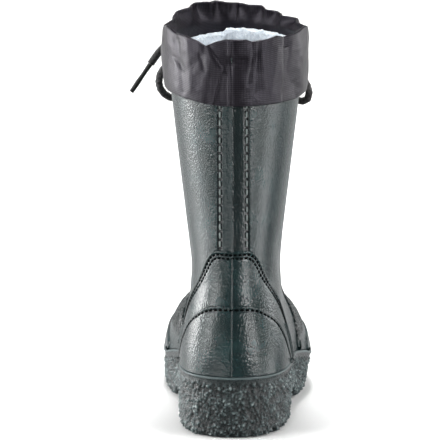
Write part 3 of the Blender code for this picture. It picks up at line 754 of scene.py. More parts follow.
def smooth_route(stops, spacing):
    """Points along a smooth curve through the stops, about spacing apart."""
    stops = np.array(stops)
    ways = unit(np.vstack([stops[1:], stops[-1:]]) - np.vstack([stops[:1], stops[:-1]]))
    t = np.linspace(0, 1, 24, endpoint=False)[:, None]
    fine = []
    for i in range(len(stops) - 1):
        low, high = stops[i], stops[i + 1]
        span = np.linalg.norm(high - low)
        fine.append(smooth_step(t, low, high, ways[i] * span, ways[i + 1] * span))
    fine = np.vstack(fine + [stops[-1:]])
    walked = along(fine)
    even = np.linspace(0, walked[-1], max(3, round(walked[-1] / spacing) + 1))
    return at_places(even, walked, fine)


def off_knot(middle, way, out):
    """The point that far off the knot, where the knot's surface faces that way."""
    half = np.array([KNOT_WIDTH, KNOT_DEPTH, KNOT_WIDTH]) / 2
    way = unit(np.array(way))
    stretched = way * half
    return middle + stretched * half / np.linalg.norm(stretched) + way * out


def cord_route(middle, route, returns):
    """Points of one stretch of the cord, from the knot, and back to it where it returns."""
    straight = GAP + 0.8 * CORD_WIDTH
    stops = [middle + np.array(stop) * KNOT_WIDTH for stop in route[1:]]
    stops = [off_knot(middle, route[0], out) for out in (GAP, straight)] + stops
    if returns:
        stops[-1:] = [off_knot(middle, route[-1], out) for out in (straight, GAP)]
    return smooth_route(stops, CORD_WIDTH)


def frames_along(path, closed=False):
    """Two directions square to the path at each point, turned as little as can be."""
    tangent = unit(np.gradient(path, axis=0))
    if closed:
        tangent[0] = tangent[-1] = unit(path[1] - path[-2])
    side = np.cross(tangent[0], (0.0, 0.0, 1.0) if abs(tangent[0][2]) < 0.9 else (0.0, 1.0, 0.0))
    sides = []
    for way in tangent:
        side = unit(side - way * dot(side, way))
        sides.append(side)
    sides = np.array(sides)
    return sides, np.cross(tangent, sides)


def tube(name, path, around, steps, radius):
    """A closed tube along a path, with a radius for each turn round it and distance along it."""
    walked = along(path)
    sides, others = frames_along(path)

    def place(u, v):
        cap = 3
        row = np.rint(v * steps)
        distance = np.clip((row - cap) / (steps - 2 * cap), 0.0, 1.0) * walked[-1]
        turn = u * 2 * math.pi
        # The first and the last rows round the end over to a point.
        into = np.clip(np.minimum(row, steps - row) / cap, 0.0, 1.0)
        size = radius(turn, distance) * np.sqrt(1 - (1 - into) ** 2)
        at, one, two = (at_places(distance, walked, part) for part in (path, sides, others))
        across, up = (size * np.cos(turn))[..., None], (size * np.sin(turn))[..., None]
        return at + unit(one) * across + unit(two) * up

    return patch(name, around, steps, place)


def strands(turn, distance):
    """Height of a round braid of eight strands, from 0 to 1."""
    pitch = 2.2 * CORD_WIDTH
    left = np.cos(4 * turn + distance / pitch * 4 * 2 * math.pi)
    right = np.cos(4 * turn - distance / pitch * 4 * 2 * math.pi)
    return 0.5 + 0.5 * np.maximum(left, right)


def braided(name, path, width):
    """A cord with its braid in relief, and the braid's height kept for the material."""
    length = along(path)[-1]
    steps = min(620, round(length / (0.07 * width)))

    def radius(turn, distance):
        return width / 2 * (0.90 + 0.12 * strands(turn, distance))

    made = tube(name, path, 32, steps, radius)
    uv = points_uv(made)
    marked(made, "strand", strands(uv[:, 0] * 2 * math.pi, uv[:, 1] * length))
    return welded(made)


def points_uv(piece):
    """The UV of each point of a fresh patch."""
    loops = np.empty(len(piece.data.loops), dtype=np.int32)
    piece.data.loops.foreach_get("vertex_index", loops)
    flat = np.empty(len(loops) * 2)
    piece.data.uv_layers.active.data.foreach_get("uv", flat)
    uv = np.zeros((len(piece.data.vertices), 2))
    uv[loops] = flat.reshape(-1, 2)
    return uv


def bow_knot(middle):
    """The bow's knot: the cord goes over itself three times, in a flat trefoil."""
    t = np.linspace(0, 2 * math.pi, 121)
    size = np.array([KNOT_WIDTH, KNOT_DEPTH, KNOT_WIDTH]) / 2 - CORD_WIDTH * 0.42
    across = np.sin(t) + 2 * np.sin(2 * t)
    up = np.cos(t) - 2 * np.cos(2 * t)
    shape = np.stack([across, 2.2 * -np.sin(3 * t), up], axis=-1)
    path = middle + shape / np.array([3.0, 2.2, 3.0]) * size
    made = braided("bow_knot_cord", path, CORD_WIDTH * 0.84)
    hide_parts("bow_knot")
    return given(made, BRAID)


def aglet(side, path):
    """The tip on a cord's end: a smooth film sleeve with a rounded point."""
    ahead = unit(path[-1] - path[-2])
    first = path[-1] + ahead * GAP
    line = first + ahead * np.linspace(0, AGLET_LENGTH, 12)[:, None]

    def radius(turn, distance):
        return AGLET_WIDTH / 2 * (1 + 0.06 * np.cos(distance / AGLET_LENGTH * 9)) + 0.0 * turn

    made = welded(tube(f"cord_tip_{side}", line, 20, 40, radius))
    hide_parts(f"aglet_{side}")
    return given(made, TIP)


def drawstring():
    """The bow ahead of the cuff, each stretch a cord of its own."""
    low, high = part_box("bow_knot")
    middle = (np.array(low) + np.array(high)) / 2
    knot = bow_knot(middle)
    for side, route in (("left", LEFT_LOOP), ("right", RIGHT_LOOP)):
        path = cord_route(middle, route, True)
        made = given(braided(f"drawstring_loop_{side}", path, CORD_WIDTH), BRAID)
        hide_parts(f"bow_loop_{side}")
    for side, route in (("left", LEFT_END), ("right", RIGHT_END)):
        path = cord_route(middle, route, False)
        made = given(braided(f"drawstring_end_{side}", path, CORD_WIDTH), BRAID)
        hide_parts(f"cord_end_{side}")
        aglet(side, path)


drawstring()


# The upper and what is moulded on it
MOULD_LINE = -0.35


def whole_upper():
    """The moulded boot's wall, from the sole's line to the collar."""
    turn_at = even_turns(241, 0.06)

    def place(u, v):
        turn = turn_at(u)
        low = on_line(turn, line_height, GAP)
        height = mix(low, COLLAR_HEIGHT, v**1.15)
        return skin(turn, height)

    made = facing_out(welded(patch("boot_upper", 240, 150, place), outward=False))
    thickened(made, UPPER_WALL)
    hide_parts("upper")
    return given(made, GREEN)


def crest(turn, height):
    """How far the heel stands proud where the mould's halves met. The inner half comes up to the
    line in a long slope and the outer half drops off it in a short one."""
    aside = skin(turn, height)[:, 0] / MM - MOULD_LINE
    slope = np.where(aside < 0, 5.0, 0.3)
    ridge = 0.45 * MM * np.exp(-np.abs(aside) / slope)
    return np.where(np.abs(turn) < math.pi / 2, ridge, 0.0)


def overlay(name, border, bands, inner_rows, columns=300, bottom=None):
    """A form moulded on the upper: its border is walked with the form on its right, bands give
    the distance from the border and how far out, and from the last band it goes on to the bottom."""
    turn_b, height_b = resampled(*border, columns + 1)
    ways = inward_ways(turn_b, height_b)
    shares = np.linspace(0, 1, columns + 1)
    distances, outs = np.array(bands).T * MM
    band_rows = len(bands) - 1
    rows = band_rows + inner_rows
    lines = [slide(turn_b, height_b, ways, distance) for distance in distances]
    low = on_line(turn_b, line_height, 2 * GAP) if bottom is None else bottom(turn_b)

    def place(u, v):
        row = np.rint(v * rows).astype(int)
        column = np.rint(u * columns).astype(int)
        turn, height, out = (np.empty(len(u)) for _ in range(3))
        for i, (line_turn, line_rise) in enumerate(lines):
            here = row == i
            turn[here], out[here] = line_turn[column[here]], outs[i]
            height[here] = np.maximum(line_rise[column[here]], low[column[here]])
        here = row > band_rows
        share = (row[here] - band_rows) / max(inner_rows, 1)
        last_turn, last_rise = lines[-1]
        last_rise = np.maximum(last_rise, low)
        turn[here] = mix(last_turn[column[here]], turn_b[column[here]], share)
        height[here] = mix(last_rise[column[here]], low[column[here]], share)
        out[here] = outs[-1]
        return skin(turn, height, out + crest(turn, height))

    made = facing_out(patch(name, columns, rows, place))
    return thickened(made, FORM_WALL)


def heel_form_border(top, reach, outline):
    """The border of a form round the heel, whose edge comes down as its outline says."""
    drop_at = curve_through(outline)

    def inside(point):
        line = line_height(point[..., 1])
        drop = drop_at((point[..., 1] + HEEL_CENTRE) / (reach * UPPER_LENGTH))[..., 0]
        return point[..., 2] < top - (top - line) * drop

    widest = 2 * math.asin(math.sqrt(0.97 * reach))
    turn = np.linspace(-widest, widest, 900)
    return turn, top_of(turn, inside, on_line(turn, line_height, 2 * GAP), COLLAR_HEIGHT)


def crumbs(points, size):
    """Height of a crepe grain at points, from 0 in the clefts to 1 on the crumbs' tops."""
    found = np.empty(len(points))
    for i, point in enumerate(points):
        bend = noise.noise_vector(Vector(point) / (1.6 * size)) * 0.35
        near, following = noise.voronoi(Vector(point) / size + bend)[0][:2]
        swell = noise.noise(Vector(point) / (3.1 * size))
        found[i] = min(1.0, (following - near) * 1.9) * 0.75 + 0.25 * (0.5 + swell)
    return found


def vamp_inside(point):
    seam = VAMP_START * UPPER_LENGTH + VAMP_LEAN * (point[..., 2] - HEEL_LINE)
    return point[..., 1] + HEEL_CENTRE > seam


# Profiles of the moulded forms, from their border inwards, in millimetres
COUNTER_BANDS = (
    # from the border, out
    (0.0, -0.5), (0.1, 0.4), (0.45, 1.1), (1.0, 1.6), (1.5, 1.6), (2.0, 1.25), (2.4, 1.05),
    (2.7, 0.95), (3.5, 0.95), (3.9, 1.1), (4.9, 1.1), (5.3, 0.95), (6.1, 0.95), (6.6, 1.1),
    (8.0, 1.15),
)
CAP_BANDS = (
    (0.0, 0.6), (0.1, 1.3), (0.5, 1.9), (1.1, 2.3), (1.8, 2.3), (2.4, 2.0), (2.8, 1.75),
    (3.9, 1.75), (4.4, 1.95), (6.0, 2.0),
)
VAMP_BANDS = (
    (0.0, -0.5), (0.05, 0.5), (0.3, 1.1), (0.8, 1.5), (1.4, 1.5), (2.0, 0.95), (3.0, 0.9),
    (3.6, 1.0), (5.0, 1.0),
)
RAND_BANDS = (
    (0.0, 0.3), (0.05, 1.2), (0.4, 2.1), (1.0, 2.4), (1.8, 2.4), (2.4, 2.0), (3.2, 2.0),
)


def stitch(name, length, width, height):
    """One moulded stitch: a box with rounded ends, lying along X, its top towards Z."""
    deselect()
    bpy.ops.mesh.primitive_cube_add(size=1.0)
    made = bpy.context.object
    made.name = name
    made.scale = (length, width, height)
    bpy.ops.object.transform_apply(location=False, rotation=False, scale=True)
    return apply_modifier(made, "BEVEL", width=min(width, height) * 0.30, segments=2)


def stitches(name, turn, height, out, pitch, size, finish, start=0.5):
    """A row of stitches along a line on the upper, one every pitch."""
    model = stitch(f"{name}_model", *size)
    points = skin(turn, height, out + crest(turn, height))
    tangent = unit(np.gradient(points, axis=0))
    normal = ways_on(turn, height)[2]
    walked = along(points)
    count = int(walked[-1] / pitch)
    copies = []
    for k in range(count):
        distance = (k + start) * pitch
        at, way, up = (at_places(distance, walked, part) for part in (points, tangent, normal))
        side = unit(np.cross(up, way))
        copy = model.copy()
        copy.data = model.data.copy()
        copy.matrix_world = Matrix(np.column_stack([way, side, up]).tolist()).to_4x4()
        copy.matrix_world.translation = Vector(at)
        bpy.context.scene.collection.objects.link(copy)
        copies.append(copy)
    bpy.data.objects.remove(model)
    made = joined(name, copies)
    pick(made)
    bpy.ops.object.transform_apply()
    return given(made, finish)


def row_in(border, distance, count=600):
    """A line that runs inside a border at a distance, cut off where it meets the sole."""
    turn, height = resampled(*border, count)
    turn, height = slide(turn, height, inward_ways(turn, height), distance)
    clear = height > on_line(turn, line_height, 1.5 * MM)
    return turn[clear], height[clear]


def heel_forms():
    """The tall counter with two rows of stitches, and the low cap over the heel with one. The stitches
    are near-black boxes, painted shade for the moulded slots.
    """
    border = heel_form_border(COUNTER_TOP, COUNTER_REACH, COUNTER_OUTLINE)
    given(overlay("heel_counter", border, COUNTER_BANDS, 46), GREEN)
    size = (2.4 * MM, 1.5 * MM, 1.1 * MM)
    for i, distance in enumerate((3.1, 5.7)):
        row = row_in(border, distance * MM)
        stitches(f"counter_stitches_{i + 1}", *row, 0.9 * MM, 3.5 * MM, size, PAINTED_SHADE_STITCH)
    border = heel_form_border(HEEL_CAP_TOP, HEEL_CAP_REACH, HEEL_CAP_OUTLINE)
    given(overlay("heel_cap", border, CAP_BANDS, 34), GREEN)
    size = (2.8 * MM, 1.6 * MM, 1.1 * MM)
    row = row_in(border, 3.35 * MM)
    stitches("heel_cap_stitches", *row, 1.65 * MM, 4.15 * MM, size, PAINTED_SHADE_STITCH)


def turn_at_side(side, height):
    """The turns near the back at which the upper is that far to one side of its middle."""
    side, height = np.broadcast_arrays(np.asarray(side, float), np.asarray(height, float))
    middle_x = upper_point(0.0 * height, height)[..., 0]
    low, high = np.zeros(np.shape(height)), np.full(np.shape(height), math.pi / 2)
    for _ in range(30):
        middle = (low + high) / 2
        short = upper_point(middle, height)[..., 0] - middle_x < np.abs(side)
        low, high = np.where(short, middle, low), np.where(short, high, middle)
    return np.sign(side) * low


STRIP_SHIFT = 0.6
STRIP_ROW = 9.85
STRIP_PROFILE = (
    # across from the strip's middle, out, painted shade
    (-12.5, -0.5, 0.0), (-12.4, 0.5, 0.0), (-12.0, 1.0, 0.0), (-11.6, 0.9, 0.2), (-11.1, 0.1, 1.0),
    (-10.4, 0.0, 1.0), (-9.3, 0.0, 1.0), (-8.6, 0.1, 1.0), (-8.1, 0.8, 0.3), (-7.6, 0.95, 0.1),
    (-4.0, 1.0, 0.1), (-1.6, 1.0, 0.1), (-1.15, 1.25, 0.0), (-0.75, 1.3, 0.0), (-0.35, 1.0, 0.5),
    (0.5, 0.8, 0.6), (4.0, 0.7, 0.55), (7.4, 0.8, 0.5), (8.1, 0.7, 0.6), (8.7, 0.1, 1.0),
    (9.3, 0.0, 1.0), (10.4, 0.0, 1.0), (11.1, 0.1, 1.0), (11.6, 0.9, 0.2), (12.1, 1.0, 0.0),
    (12.5, 0.5, 0.0), (12.6, -0.5, 0.0),
)


def back_strip():
    """The strip up the back of the shaft, with a row of raised stitches in a channel on each side.
    The channels are painted dark, as painted shade, and the stitches light, as painted highlight.
    """
    across, outs, painted_shades = np.array(STRIP_PROFILE).T
    columns, rows = len(across) - 1, 60
    low, high = COUNTER_TOP - UPPER_WALL, COLLAR_HEIGHT - UPPER_WALL

    def place(u, v):
        column = np.rint(u * columns).astype(int)
        height = mix(low, high, v)
        turn = turn_at_side((across[column] + STRIP_SHIFT) * MM, height)
        return skin(turn, height, outs[column] * MM)

    made = patch("back_strip", columns, rows, place)
    uv = points_uv(made)
    marked(made, "painted_shade", painted_shades[np.rint(uv[:, 0] * columns).astype(int)])
    given(thickened(facing_out(made), FORM_WALL), GREEN)
    height = np.linspace(COUNTER_TOP + 1.5 * MM, COLLAR_HEIGHT - 0.030, 300)
    for side in (-1, 1):
        turn = turn_at_side((side * STRIP_ROW + STRIP_SHIFT) * MM, height)
        size = (4.3 * MM, 1.25 * MM, 1.2 * MM)
        name = "left" if side < 0 else "right"
        stitches(f"strip_stitches_{name}", turn, height, 0.35 * MM, 6.6 * MM, size, PAINTED_HIGHLIGHT_STITCH)


def mould_line():
    """The fine raised line up the middle of the back, where the mould's halves met."""
    levels = np.array([HEEL_LINE + 0.4 * MM, 0.098, 0.1005, 0.1045, 0.139, 0.1412, 0.1435, 0.262])
    outs = np.array([2.55, 2.55, 2.8, 1.7, 1.7, 2.0, 1.25, 1.25])
    across = np.array([-0.5, -0.25, 0.0, 0.25, 0.5])
    rise = np.array([-0.3, 0.0, 0.1, 0.0, -0.3])

    def place(u, v):
        column = np.rint(u * 4).astype(int)
        height = mix(levels[0], levels[-1], v)
        side = (across[column] + MOULD_LINE) * MM
        turn = turn_at_side(side, height)
        return skin(turn, height, (np.interp(height, levels, outs) + rise[column]) * MM)

    made = facing_out(patch("mould_line", 4, 260, place))
    given(thickened(made, 0.8 * MM), GREEN)


def forefoot_turns(start):
    """Turns round the forefoot from a place on one side to the same place on the other, as shares
    of the way to each and as turns, and how high the sole's line is there."""
    widest = math.pi - 2 * math.asin(math.sqrt(start))
    turn = math.pi + np.linspace(-widest, widest, 900)
    return (turn - math.pi) / widest, turn, on_line(turn, line_height, 2 * GAP)


def forefoot_forms():
    """The vamp's edge over the instep, and the band along the sole round the forefoot."""
    share, turn, low = forefoot_turns(VAMP_START)
    border = (turn, top_of(turn, vamp_inside, low, ANKLE_HEIGHT * 1.2))
    vamp = overlay("vamp", border, VAMP_BANDS, 90)
    points = points_of(vamp)
    # The vamp is knurled: crumbs which fade away where it meets the rand. Its colour is painted
    # darker as painted shade, most of all in the clefts.
    crumb_size, crumb_height, fade = 2.4 * MM, 1.3 * MM, 0.006
    height = crumbs(points, crumb_size)
    weight = ease((points[:, 2] - on_line(turn[:1], line_height)[0] - fade) / fade)
    moved = (height - 0.6) * weight * crumb_height
    set_points(vamp, points + normals_of(vamp) * moved[:, None])
    marked(vamp, "painted_shade", mix(0.0, 1.0 - 0.6 * height, weight))
    given(vamp, GREEN)
    size = (2.8 * MM, 1.4 * MM, 1.1 * MM)
    stitches("vamp_stitches", *row_in(border, 2.5 * MM), 0.8 * MM, 3.7 * MM, size, PAINTED_SHADE_STITCH)
    share, turn, low = forefoot_turns(RAND_START)
    end = np.sqrt(np.maximum(0.0, 1 - np.abs(share) ** 8))
    border = (turn, low + np.maximum(RAND_PROUD, RAND_HEIGHT * end))
    given(overlay("rand", border, RAND_BANDS, 14), GREEN)


# The sole
def crepe_sole():
    """The sole's sides and edges in crepe crumbs, from a merged copy of its solid."""
    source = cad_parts["outsole"]
    made = source.copy()
    made.data = source.data.copy()
    made.name = made.data.name = "crepe_sole"
    bpy.context.scene.collection.objects.link(made)
    made.parent = None
    made.matrix_world = source.matrix_world.copy()
    pick(made)
    bpy.ops.object.transform_apply()
    welded(made)
    apply_modifier(made, "REMESH", mode="VOXEL", voxel_size=1.15 * MM, use_smooth_shade=True)
    apply_modifier(made, "SMOOTH", factor=0.5, iterations=4)
    points, normals = points_of(made), normals_of(made)
    line = line_height(points[:, 1])
    below = ease((line - 4.2 * MM - points[:, 2]) / (3.0 * MM))
    sideways = ease((1.05 - np.abs(normals[:, 2])) / 0.35)
    lowest = ease((points[:, 2] - 0.2 * MM) / (1.5 * MM))
    weight = below * np.maximum(sideways * lowest, 0.0)
    seat = seat_height(points[:, 1])
    within = (points[:, 2] > seat - 0.5 * MM) & (normals[:, 2] > 0.5)
    weight = np.where(within, 0.0, weight)
    crumb_size, crumb_height = 2.6 * MM, 2.9 * MM
    height = crumbs(points, crumb_size)
    moved = points + normals * ((height - 0.5) * weight * crumb_height)[:, None]
    moved[:, 2] = np.maximum(moved[:, 2], 0.0)
    set_points(made, moved)
    marked(made, "crumb", mix(0.42, height, weight))
    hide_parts("outsole")
    return given(made, CREPE, smooth=180)


def sole_lip():
    """The thin lip round the top of the sole, painted lighter than the foam as a painted highlight."""
    turn_at = even_turns(401, 0.03)
    half = LIP_HEIGHT / 2

    def place(u, v):
        turn = turn_at(u)
        line = on_line(turn, line_height)
        around = v * 2 * math.pi
        out = SOLE_PROUD - 0.3 * MM + (LIP_PROUD + 0.5 * MM) * np.cos(around)
        point = plan_skin(turn, line, out)
        point[:, 2] = line_height(point[:, 1]) - half * 0.75 + half * 0.8 * np.sin(around)
        return point

    made = welded(patch("sole_lip", 400, 12, place))
    return given(made, PAINTED_HIGHLIGHT_LIP, smooth=180)


# The soft parts
FLEECE_TOP = 0.2865


def fleece_lining():
    """The pile lining inside the shaft, up to just under the cuff, with a rounded top edge."""
    turn_at = even_turns(221, 0.2)
    # One slice runs up the outside of the pile, over its top and down the inside.
    slice_out = np.array([-0.4, -0.4, -0.8, -2.6, -4.4, -5.2, -5.4, -5.0]) * MM
    slice_up = np.array([0.0, 0.96, 0.99, 1.0, 0.992, 0.97, 0.5, 0.0])
    slice_at = np.array([0.0, 0.28, 0.31, 0.35, 0.39, 0.43, 0.75, 1.0])

    def place(u, v):
        turn = turn_at(u)
        low = on_line(turn, seat_height) + 6.5 * MM
        # The lining's front seam is a little to the inner side, and its inner half stands lower.
        past = np.degrees(turn) % 360 - 180
        lower = ease((past - 11) / 2.5) * (1 - ease((past - 60) / 30))
        top = FLEECE_TOP + MM * (3.0 * np.exp(-((past / 65) ** 2)) - 2.6 * lower)
        height = mix(low, top, np.interp(v, slice_at, slice_up))
        out = -UPPER_WALL + np.interp(v, slice_at, slice_out)
        point = plan_skin(turn, np.minimum(height, COLLAR_HEIGHT), out)
        point[:, 2] += np.maximum(0, height - COLLAR_HEIGHT)
        return point

    made = welded(patch("fleece_lining", 220, 150, place))
    points, normals = points_of(made), normals_of(made)
    tufts = np.array([noise.fractal(Vector(p) / 0.0035, 0.9, 2.0, 3) for p in points])
    inside = ease((points[:, 2] - 0.05) / 0.02)
    set_points(made, points + normals * (np.clip(tufts, -0.8, 0.8) * 0.7 * MM * inside)[:, None])
    return given(made, FLEECE, smooth=180)


# The cuff's rim and hem, as heights round the boot. Turns in degrees, inner side negative.
RIM = (
    # turn, height
    (-180, 307.6), (-176, 308.0), (-163, 309.6), (-151, 309.9), (-143, 309.2), (-126, 306.0), (-110, 301.0),
    (-99, 297.8), (-90, 298.0), (-75, 303.5), (-64, 305.9), (-52, 301.9), (-46, 302.2), (-38, 301.6),
    (-28, 298.9), (-22, 295.7), (-13.6, 299.2), (-5, 301.4), (11, 301.3), (15.7, 299.6), (26.5, 300.6),
    (37, 302.4), (46.5, 300.1), (62, 301.6), (76, 304.1), (84, 301.5), (93, 299.0), (107, 298.3),
    (127, 300.9), (133, 301.2), (156, 304.4), (161, 306.4), (167, 306.8), (180, 307.6),
)
HEM = (
    # turn, height
    (-180, 257.5), (-130, 258.5), (-100, 259.5), (-79, 259.1), (-64, 256.1), (-47, 255.3), (-32, 253.6),
    (-18, 251.9), (-10, 251.2), (17, 251.3), (35, 251.3), (48, 251.8), (62, 251.7), (72, 252.9), (95, 254.0),
    (130, 255.5), (180, 257.5),
)
# Pleats that run down from the rim: turn and half width in degrees, how far out, and how far down
# the cuff's height they reach. The lining's side of the cuff has the same pleats.
PLEATS = (
    # turn, width, depth, reach
    (-22.0, 4.0, -1.0, 0.30), (15.7, 3.0, -0.7, 0.25), (46.5, 4.0, -0.9, 0.55), (-52.0, 4.0, -0.8, 0.45),
    (-64.0, 3.0, 0.7, 0.50), (76.0, 3.0, 0.6, 0.60), (-92.0, 5.0, -2.4, 0.50), (-103.0, 2.5, 1.2, 0.60),
    (-112.0, 4.0, -3.0, 0.60), (-124.0, 2.5, 1.4, 0.65), (-134.0, 4.0, -4.2, 0.70), (-145.0, 2.5, 1.6, 0.70),
    (-155.0, 4.0, -4.0, 0.70), (-163.0, 2.2, 1.4, 0.70), (-171.0, 3.5, -4.2, 0.70), (-179.0, 2.2, 1.2, 0.70),
    (92.0, 5.0, -2.0, 0.50), (103.0, 2.5, 1.0, 0.60), (114.0, 4.0, -3.0, 0.60), (125.0, 2.4, 1.5, 0.70),
    (136.0, 4.0, -4.2, 0.70), (147.0, 2.5, 1.6, 0.70), (154.0, 3.0, -3.2, 0.70), (161.0, 2.2, 1.6, 0.70),
    (170.0, 4.0, -4.4, 0.70),
)
# Folds on the back of the cuff, from the camera's side: start and end across and up from the
# boot's middle and the floor, how far each spreads to the left and to the right, and its depth.
FOLDS = (
    # from x, z, to x, z, left, right, depth, in millimetres
    (-19.5, 298.0, -8.5, 283.0, 1.0, 9.0, -1.7),
    (-8.0, 294.5, 9.0, 293.5, 6.0, 9.0, -0.7),
    (-5.0, 286.0, 8.5, 285.5, 4.5, 3.0, -1.7),
    (-5.0, 281.5, 11.0, 280.0, 3.0, 2.0, 0.7),
    (-6.4, 282.5, -13.2, 252.0, 0.7, 5.5, -1.3),
    (-6.9, 281.5, -14.4, 252.0, 1.2, 0.7, 0.5),
    (15.5, 289.0, 12.0, 270.0, 1.2, 3.2, -1.1),
    (20.0, 300.0, 17.0, 262.0, 1.5, 4.0, -0.5),
    (40.0, 300.0, 38.5, 254.0, 1.2, 9.0, -2.4),
    (33.0, 292.0, 29.0, 262.0, 2.0, 3.0, 0.6),
    (-42.0, 296.0, -37.0, 260.0, 2.5, 3.5, -1.0),
    (-44.0, 283.0, -38.0, 276.0, 1.2, 2.5, -0.7),
    (-24.0, 287.0, -21.5, 279.0, 1.8, 3.0, -0.9),
    (-33.0, 296.0, -31.0, 262.0, 4.0, 3.0, 0.7),
    (-16.0, 276.0, -19.0, 254.0, 2.0, 4.0, -0.5),
    (22.0, 291.0, 24.0, 266.0, 2.5, 3.0, 0.5),
)
SEAM_X = -2.7
CUFF_BULGE = 3.2
CUFF_LEAST = 0.75
CUFF_ROLL = 1.3
CUFF_FOOT = 0.2845
CLOTH = 0.55 * MM


def folds(x, z):
    """Depth of the cuff's folds at places across and up its back, all in millimetres."""
    depth = np.zeros(len(x))
    for x0, z0, x1, z1, left, right, deep in FOLDS:
        way = np.array([x1 - x0, z1 - z0])
        length = np.linalg.norm(way)
        way = way / length
        walked = (x - x0) * way[0] + (z - z0) * way[1]
        # A point on the fold's right, as the fold is walked downwards, is towards +X.
        aside = -(x - x0) * way[1] + (z - z0) * way[0]
        past = np.maximum(0.0, np.maximum(-walked, walked - length))
        spread = np.where(aside > 0, right, left)
        depth += deep * np.exp(-((np.abs(aside) / spread) ** 1.6) - (past / max(left, right)) ** 2)
    return depth


def seam_welt(x):
    """The raised seam up the back of the cuff and the trough on its right, in millimetres."""
    aside = x - SEAM_X
    return 0.75 * np.exp(-((aside / 0.6) ** 2)) - 0.6 * np.exp(-(((aside - 1.9) / 1.2) ** 2))


def pleated(turn, share):
    """How far out the pleats are at a turn, share being how far down from the rim, in millimetres."""
    degrees = np.degrees(turn)
    depth = np.zeros(len(turn))
    for at, width, deep, reach in PLEATS:
        apart = np.abs((degrees - at + 180) % 360 - 180)
        depth += deep * np.exp(-((apart / width) ** 1.5)) * (1 - ease(share / reach))
    return depth


def cuff_face(turn, height, rim, hem):
    """How far out the cuff's outer face is from the collar's outline, in millimetres."""
    up = np.clip((height - hem) / (rim - hem), 0.0, 1.0)
    bulge = CUFF_BULGE * np.interp(up, [0, 0.06, 0.3, 0.75, 1.0], [0.45, 0.62, 0.85, 1.0, 0.80])
    collar = np.full(np.shape(height), COLLAR_HEIGHT)
    x = plan_skin(turn, collar, bulge * MM)[:, 0] / MM
    behind = ease((math.radians(115) - np.abs(turn)) / math.radians(20))
    out = bulge + pleated(turn, 1 - up) + behind * (folds(x, height / MM) + seam_welt(x))
    ripple = [
        noise.noise(Vector((3.2 * t, 48 * z, 0))) + 0.3 * noise.noise(Vector((8 * t, 150 * z, 4)))
        for t, z in zip(turn, height)
    ]
    out = out + 0.9 * np.array(ripple)
    free = ease((height - COLLAR_HEIGHT) / (3.5 * MM))
    return np.maximum(out, mix(CUFF_LEAST, -5.0, free))


def spread_out(even):
    """Places from -1 to 1, closer together at the back, where the seam and the finest folds are."""
    return 0.55 * even + 0.45 * even**3


def nylon_cuff():
    """The nylon cuff: a sheet that comes up inside the collar, turns over it and hangs down
    outside to a loose hem, with its gathers, pleats and folds."""
    rim_turn, rim_height = np.array(RIM).T
    hem_turn, hem_height = np.array(HEM).T
    columns, rows = 460, 100
    outside_share, roll_share = 0.56, 0.08

    def place(u, v):
        turn = spread_out(u * 2 - 1) * math.pi
        degrees = np.degrees(turn)
        rim = np.interp(degrees, rim_turn, rim_height) * MM
        hem = np.interp(degrees, hem_turn, hem_height) * MM
        # From the hem up, over the rim, and down inside to the collar.
        up = np.clip(v / outside_share, 0.0, 1.0)
        over = np.clip((v - outside_share) / roll_share, 0.0, 1.0) * math.pi
        down = np.clip((v - outside_share - roll_share) / (1 - outside_share - roll_share), 0.0, 1.0)
        top = rim - CUFF_ROLL * MM
        outside = mix(hem, top, up)
        inside = mix(top, CUFF_FOOT, down)
        rolled = top + CUFF_ROLL * MM * np.sin(over)
        height = np.where(v <= outside_share, outside, np.where(down > 0, inside, rolled))
        face = cuff_face(turn, np.minimum(height, top), rim, hem)
        folded = face - CUFF_ROLL * (1 - np.cos(over))
        tucked = -UPPER_WALL / MM - 0.9 - 0.25 * np.maximum(0.0, -pleated(turn, down * 0.8))
        free = (top - height) / (top - COLLAR_HEIGHT - 0.8 * MM)
        inner = mix(face - 2 * CUFF_ROLL, tucked, ease(free))
        out = np.where(down > 0, inner, folded)
        point = plan_skin(turn, np.full(len(u), COLLAR_HEIGHT), out * MM)
        point[:, 2] = height
        return point

    sheet = patch("nylon_cuff", columns, rows, place)
    flat = np.empty(len(sheet.data.loops) * 2)
    sheet.data.uv_layers.active.data.foreach_get("uv", flat)
    flat[::2] = 0.5 + spread_out(flat[::2] * 2 - 1) / 2
    sheet.data.uv_layers.active.data.foreach_set("uv", flat)
    made = facing_out(welded(sheet, outward=False))
    thickened(made, CLOTH)
    given(made, NYLON, smooth=180)
    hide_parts("cuff")


def insole_finish():
    """The bed inside keeps its solid, in grey felt."""
    made, tree, shader, place = new_material("needled grey felt", Roughness=0.95)
    fibres = clouds(tree, place, 600.0, 5.0, 0.7)
    cover = ramp(tree, fibres, (0.3, "#6c6f71"), (0.7, "#9a9d9f"))
    surface(tree, shader, cover, fibres, 0.6, 0.001)
    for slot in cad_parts["insole"].material_slots:
        slot.material = made


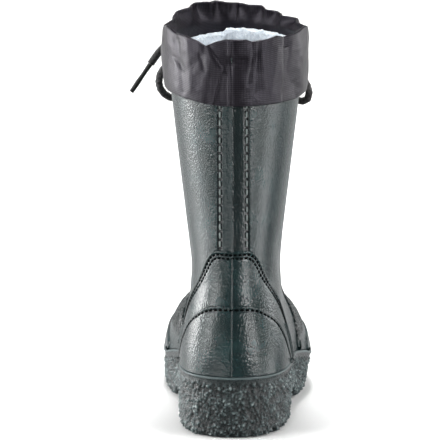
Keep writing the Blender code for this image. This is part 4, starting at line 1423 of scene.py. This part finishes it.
# The studio: a tent of panels all round, at angles round the boot from the camera's side, inner
# side positive. The boot stood on a small table in it, so the panels go on below the floor, and the
# floor itself isn't mirrored.
TENT = 1.4
PANELS = (
    # name, angle, middle height, width, height, radiance
    ("left_panel", 109, 0.20, 0.56, 0.40, 17.0),
    ("left_upper", 98, 0.72, 0.70, 0.56, 2.2),
    ("left_low", 105, -0.45, 1.36, 0.90, 2.6),
    ("left_front", 67, 0.17, 0.50, 0.30, 14.0),
    ("left_rise", 56, 0.66, 0.50, 0.50, 3.2),
    ("left_step", 30, -0.42, 0.58, 0.70, 2.7),
    ("left_key", 70, 1.55, 1.10, 0.60, 12.0),
    ("back_left", 155, 0.10, 1.10, 1.80, 0.75),
    ("back_right", -155, 0.10, 1.10, 1.80, 0.65),
    ("right_panel", -122, 0.36, 0.60, 0.60, 5.0),
    ("right_low", -95, -0.37, 0.58, 0.90, 4.8),
    ("right_step", -63, -0.38, 0.42, 0.70, 3.2),
    ("right_front", -47, 0.17, 0.34, 0.32, 20.0),
    ("right_rise", -64, 0.66, 0.36, 0.50, 4.5),
    ("right_key", -70, 1.55, 1.10, 0.60, 10.0),
)


def area_light(name, place, aim, width, height, power, spread=180):
    data = bpy.data.lights.new(name, "AREA")
    data.shape = "RECTANGLE"
    data.size, data.size_y = width, height
    data.energy = power
    data.spread = math.radians(spread)
    made = bpy.data.objects.new(name, data)
    made.location = place
    made.rotation_euler = (Vector(aim) - Vector(place)).to_track_quat("-Z", "Y").to_euler()
    made.visible_camera = False
    bpy.context.scene.collection.objects.link(made)


def studio():
    deselect()
    bpy.ops.mesh.primitive_plane_add(size=30.0)
    floor = bpy.context.object
    floor.name = "floor"
    floor.data.materials.append(pale_floor())
    floor.visible_glossy = False
    world = bpy.data.worlds.new("studio")
    world.use_nodes = True
    world.node_tree.nodes["Background"].inputs["Color"].default_value = colour("#f2f4f6")
    world.node_tree.nodes["Background"].inputs["Strength"].default_value = 0.10
    bpy.context.scene.world = world
    bpy.context.scene.view_settings.view_transform = "Standard"
    # The overhead panel lights the ground, and a narrow beam from above reaches the lining.
    area_light("overhead", (0.0, 1.7, 1.6), (0.0, 1.7, 0.0), 0.7, 2.4, 11.5, spread=56)
    area_light("top_panel", (0.0, 0.10, 1.5), (0.0, 0.10, 0.0), 0.36, 0.36, 8.0)
    area_light("top_beam", (0.0, 0.12, 1.7), (0.0, 0.04, 0.25), 0.3, 0.3, 0.60, spread=40)
    # The light tent's sides: the boot's inner side gets the larger and brighter ones.
    for name, side, height, width, tall, radiance in PANELS:
        side = math.radians(side)
        place = (-TENT * math.sin(side), -TENT * math.cos(side), height)
        area_light(name, place, (0.0, 0.0, height), width, tall, math.pi * width * tall * radiance)


whole_upper()
heel_forms()
back_strip()
mould_line()
forefoot_forms()
crepe_sole()
sole_lip()
fleece_lining()
nylon_cuff()
insole_finish()
studio()
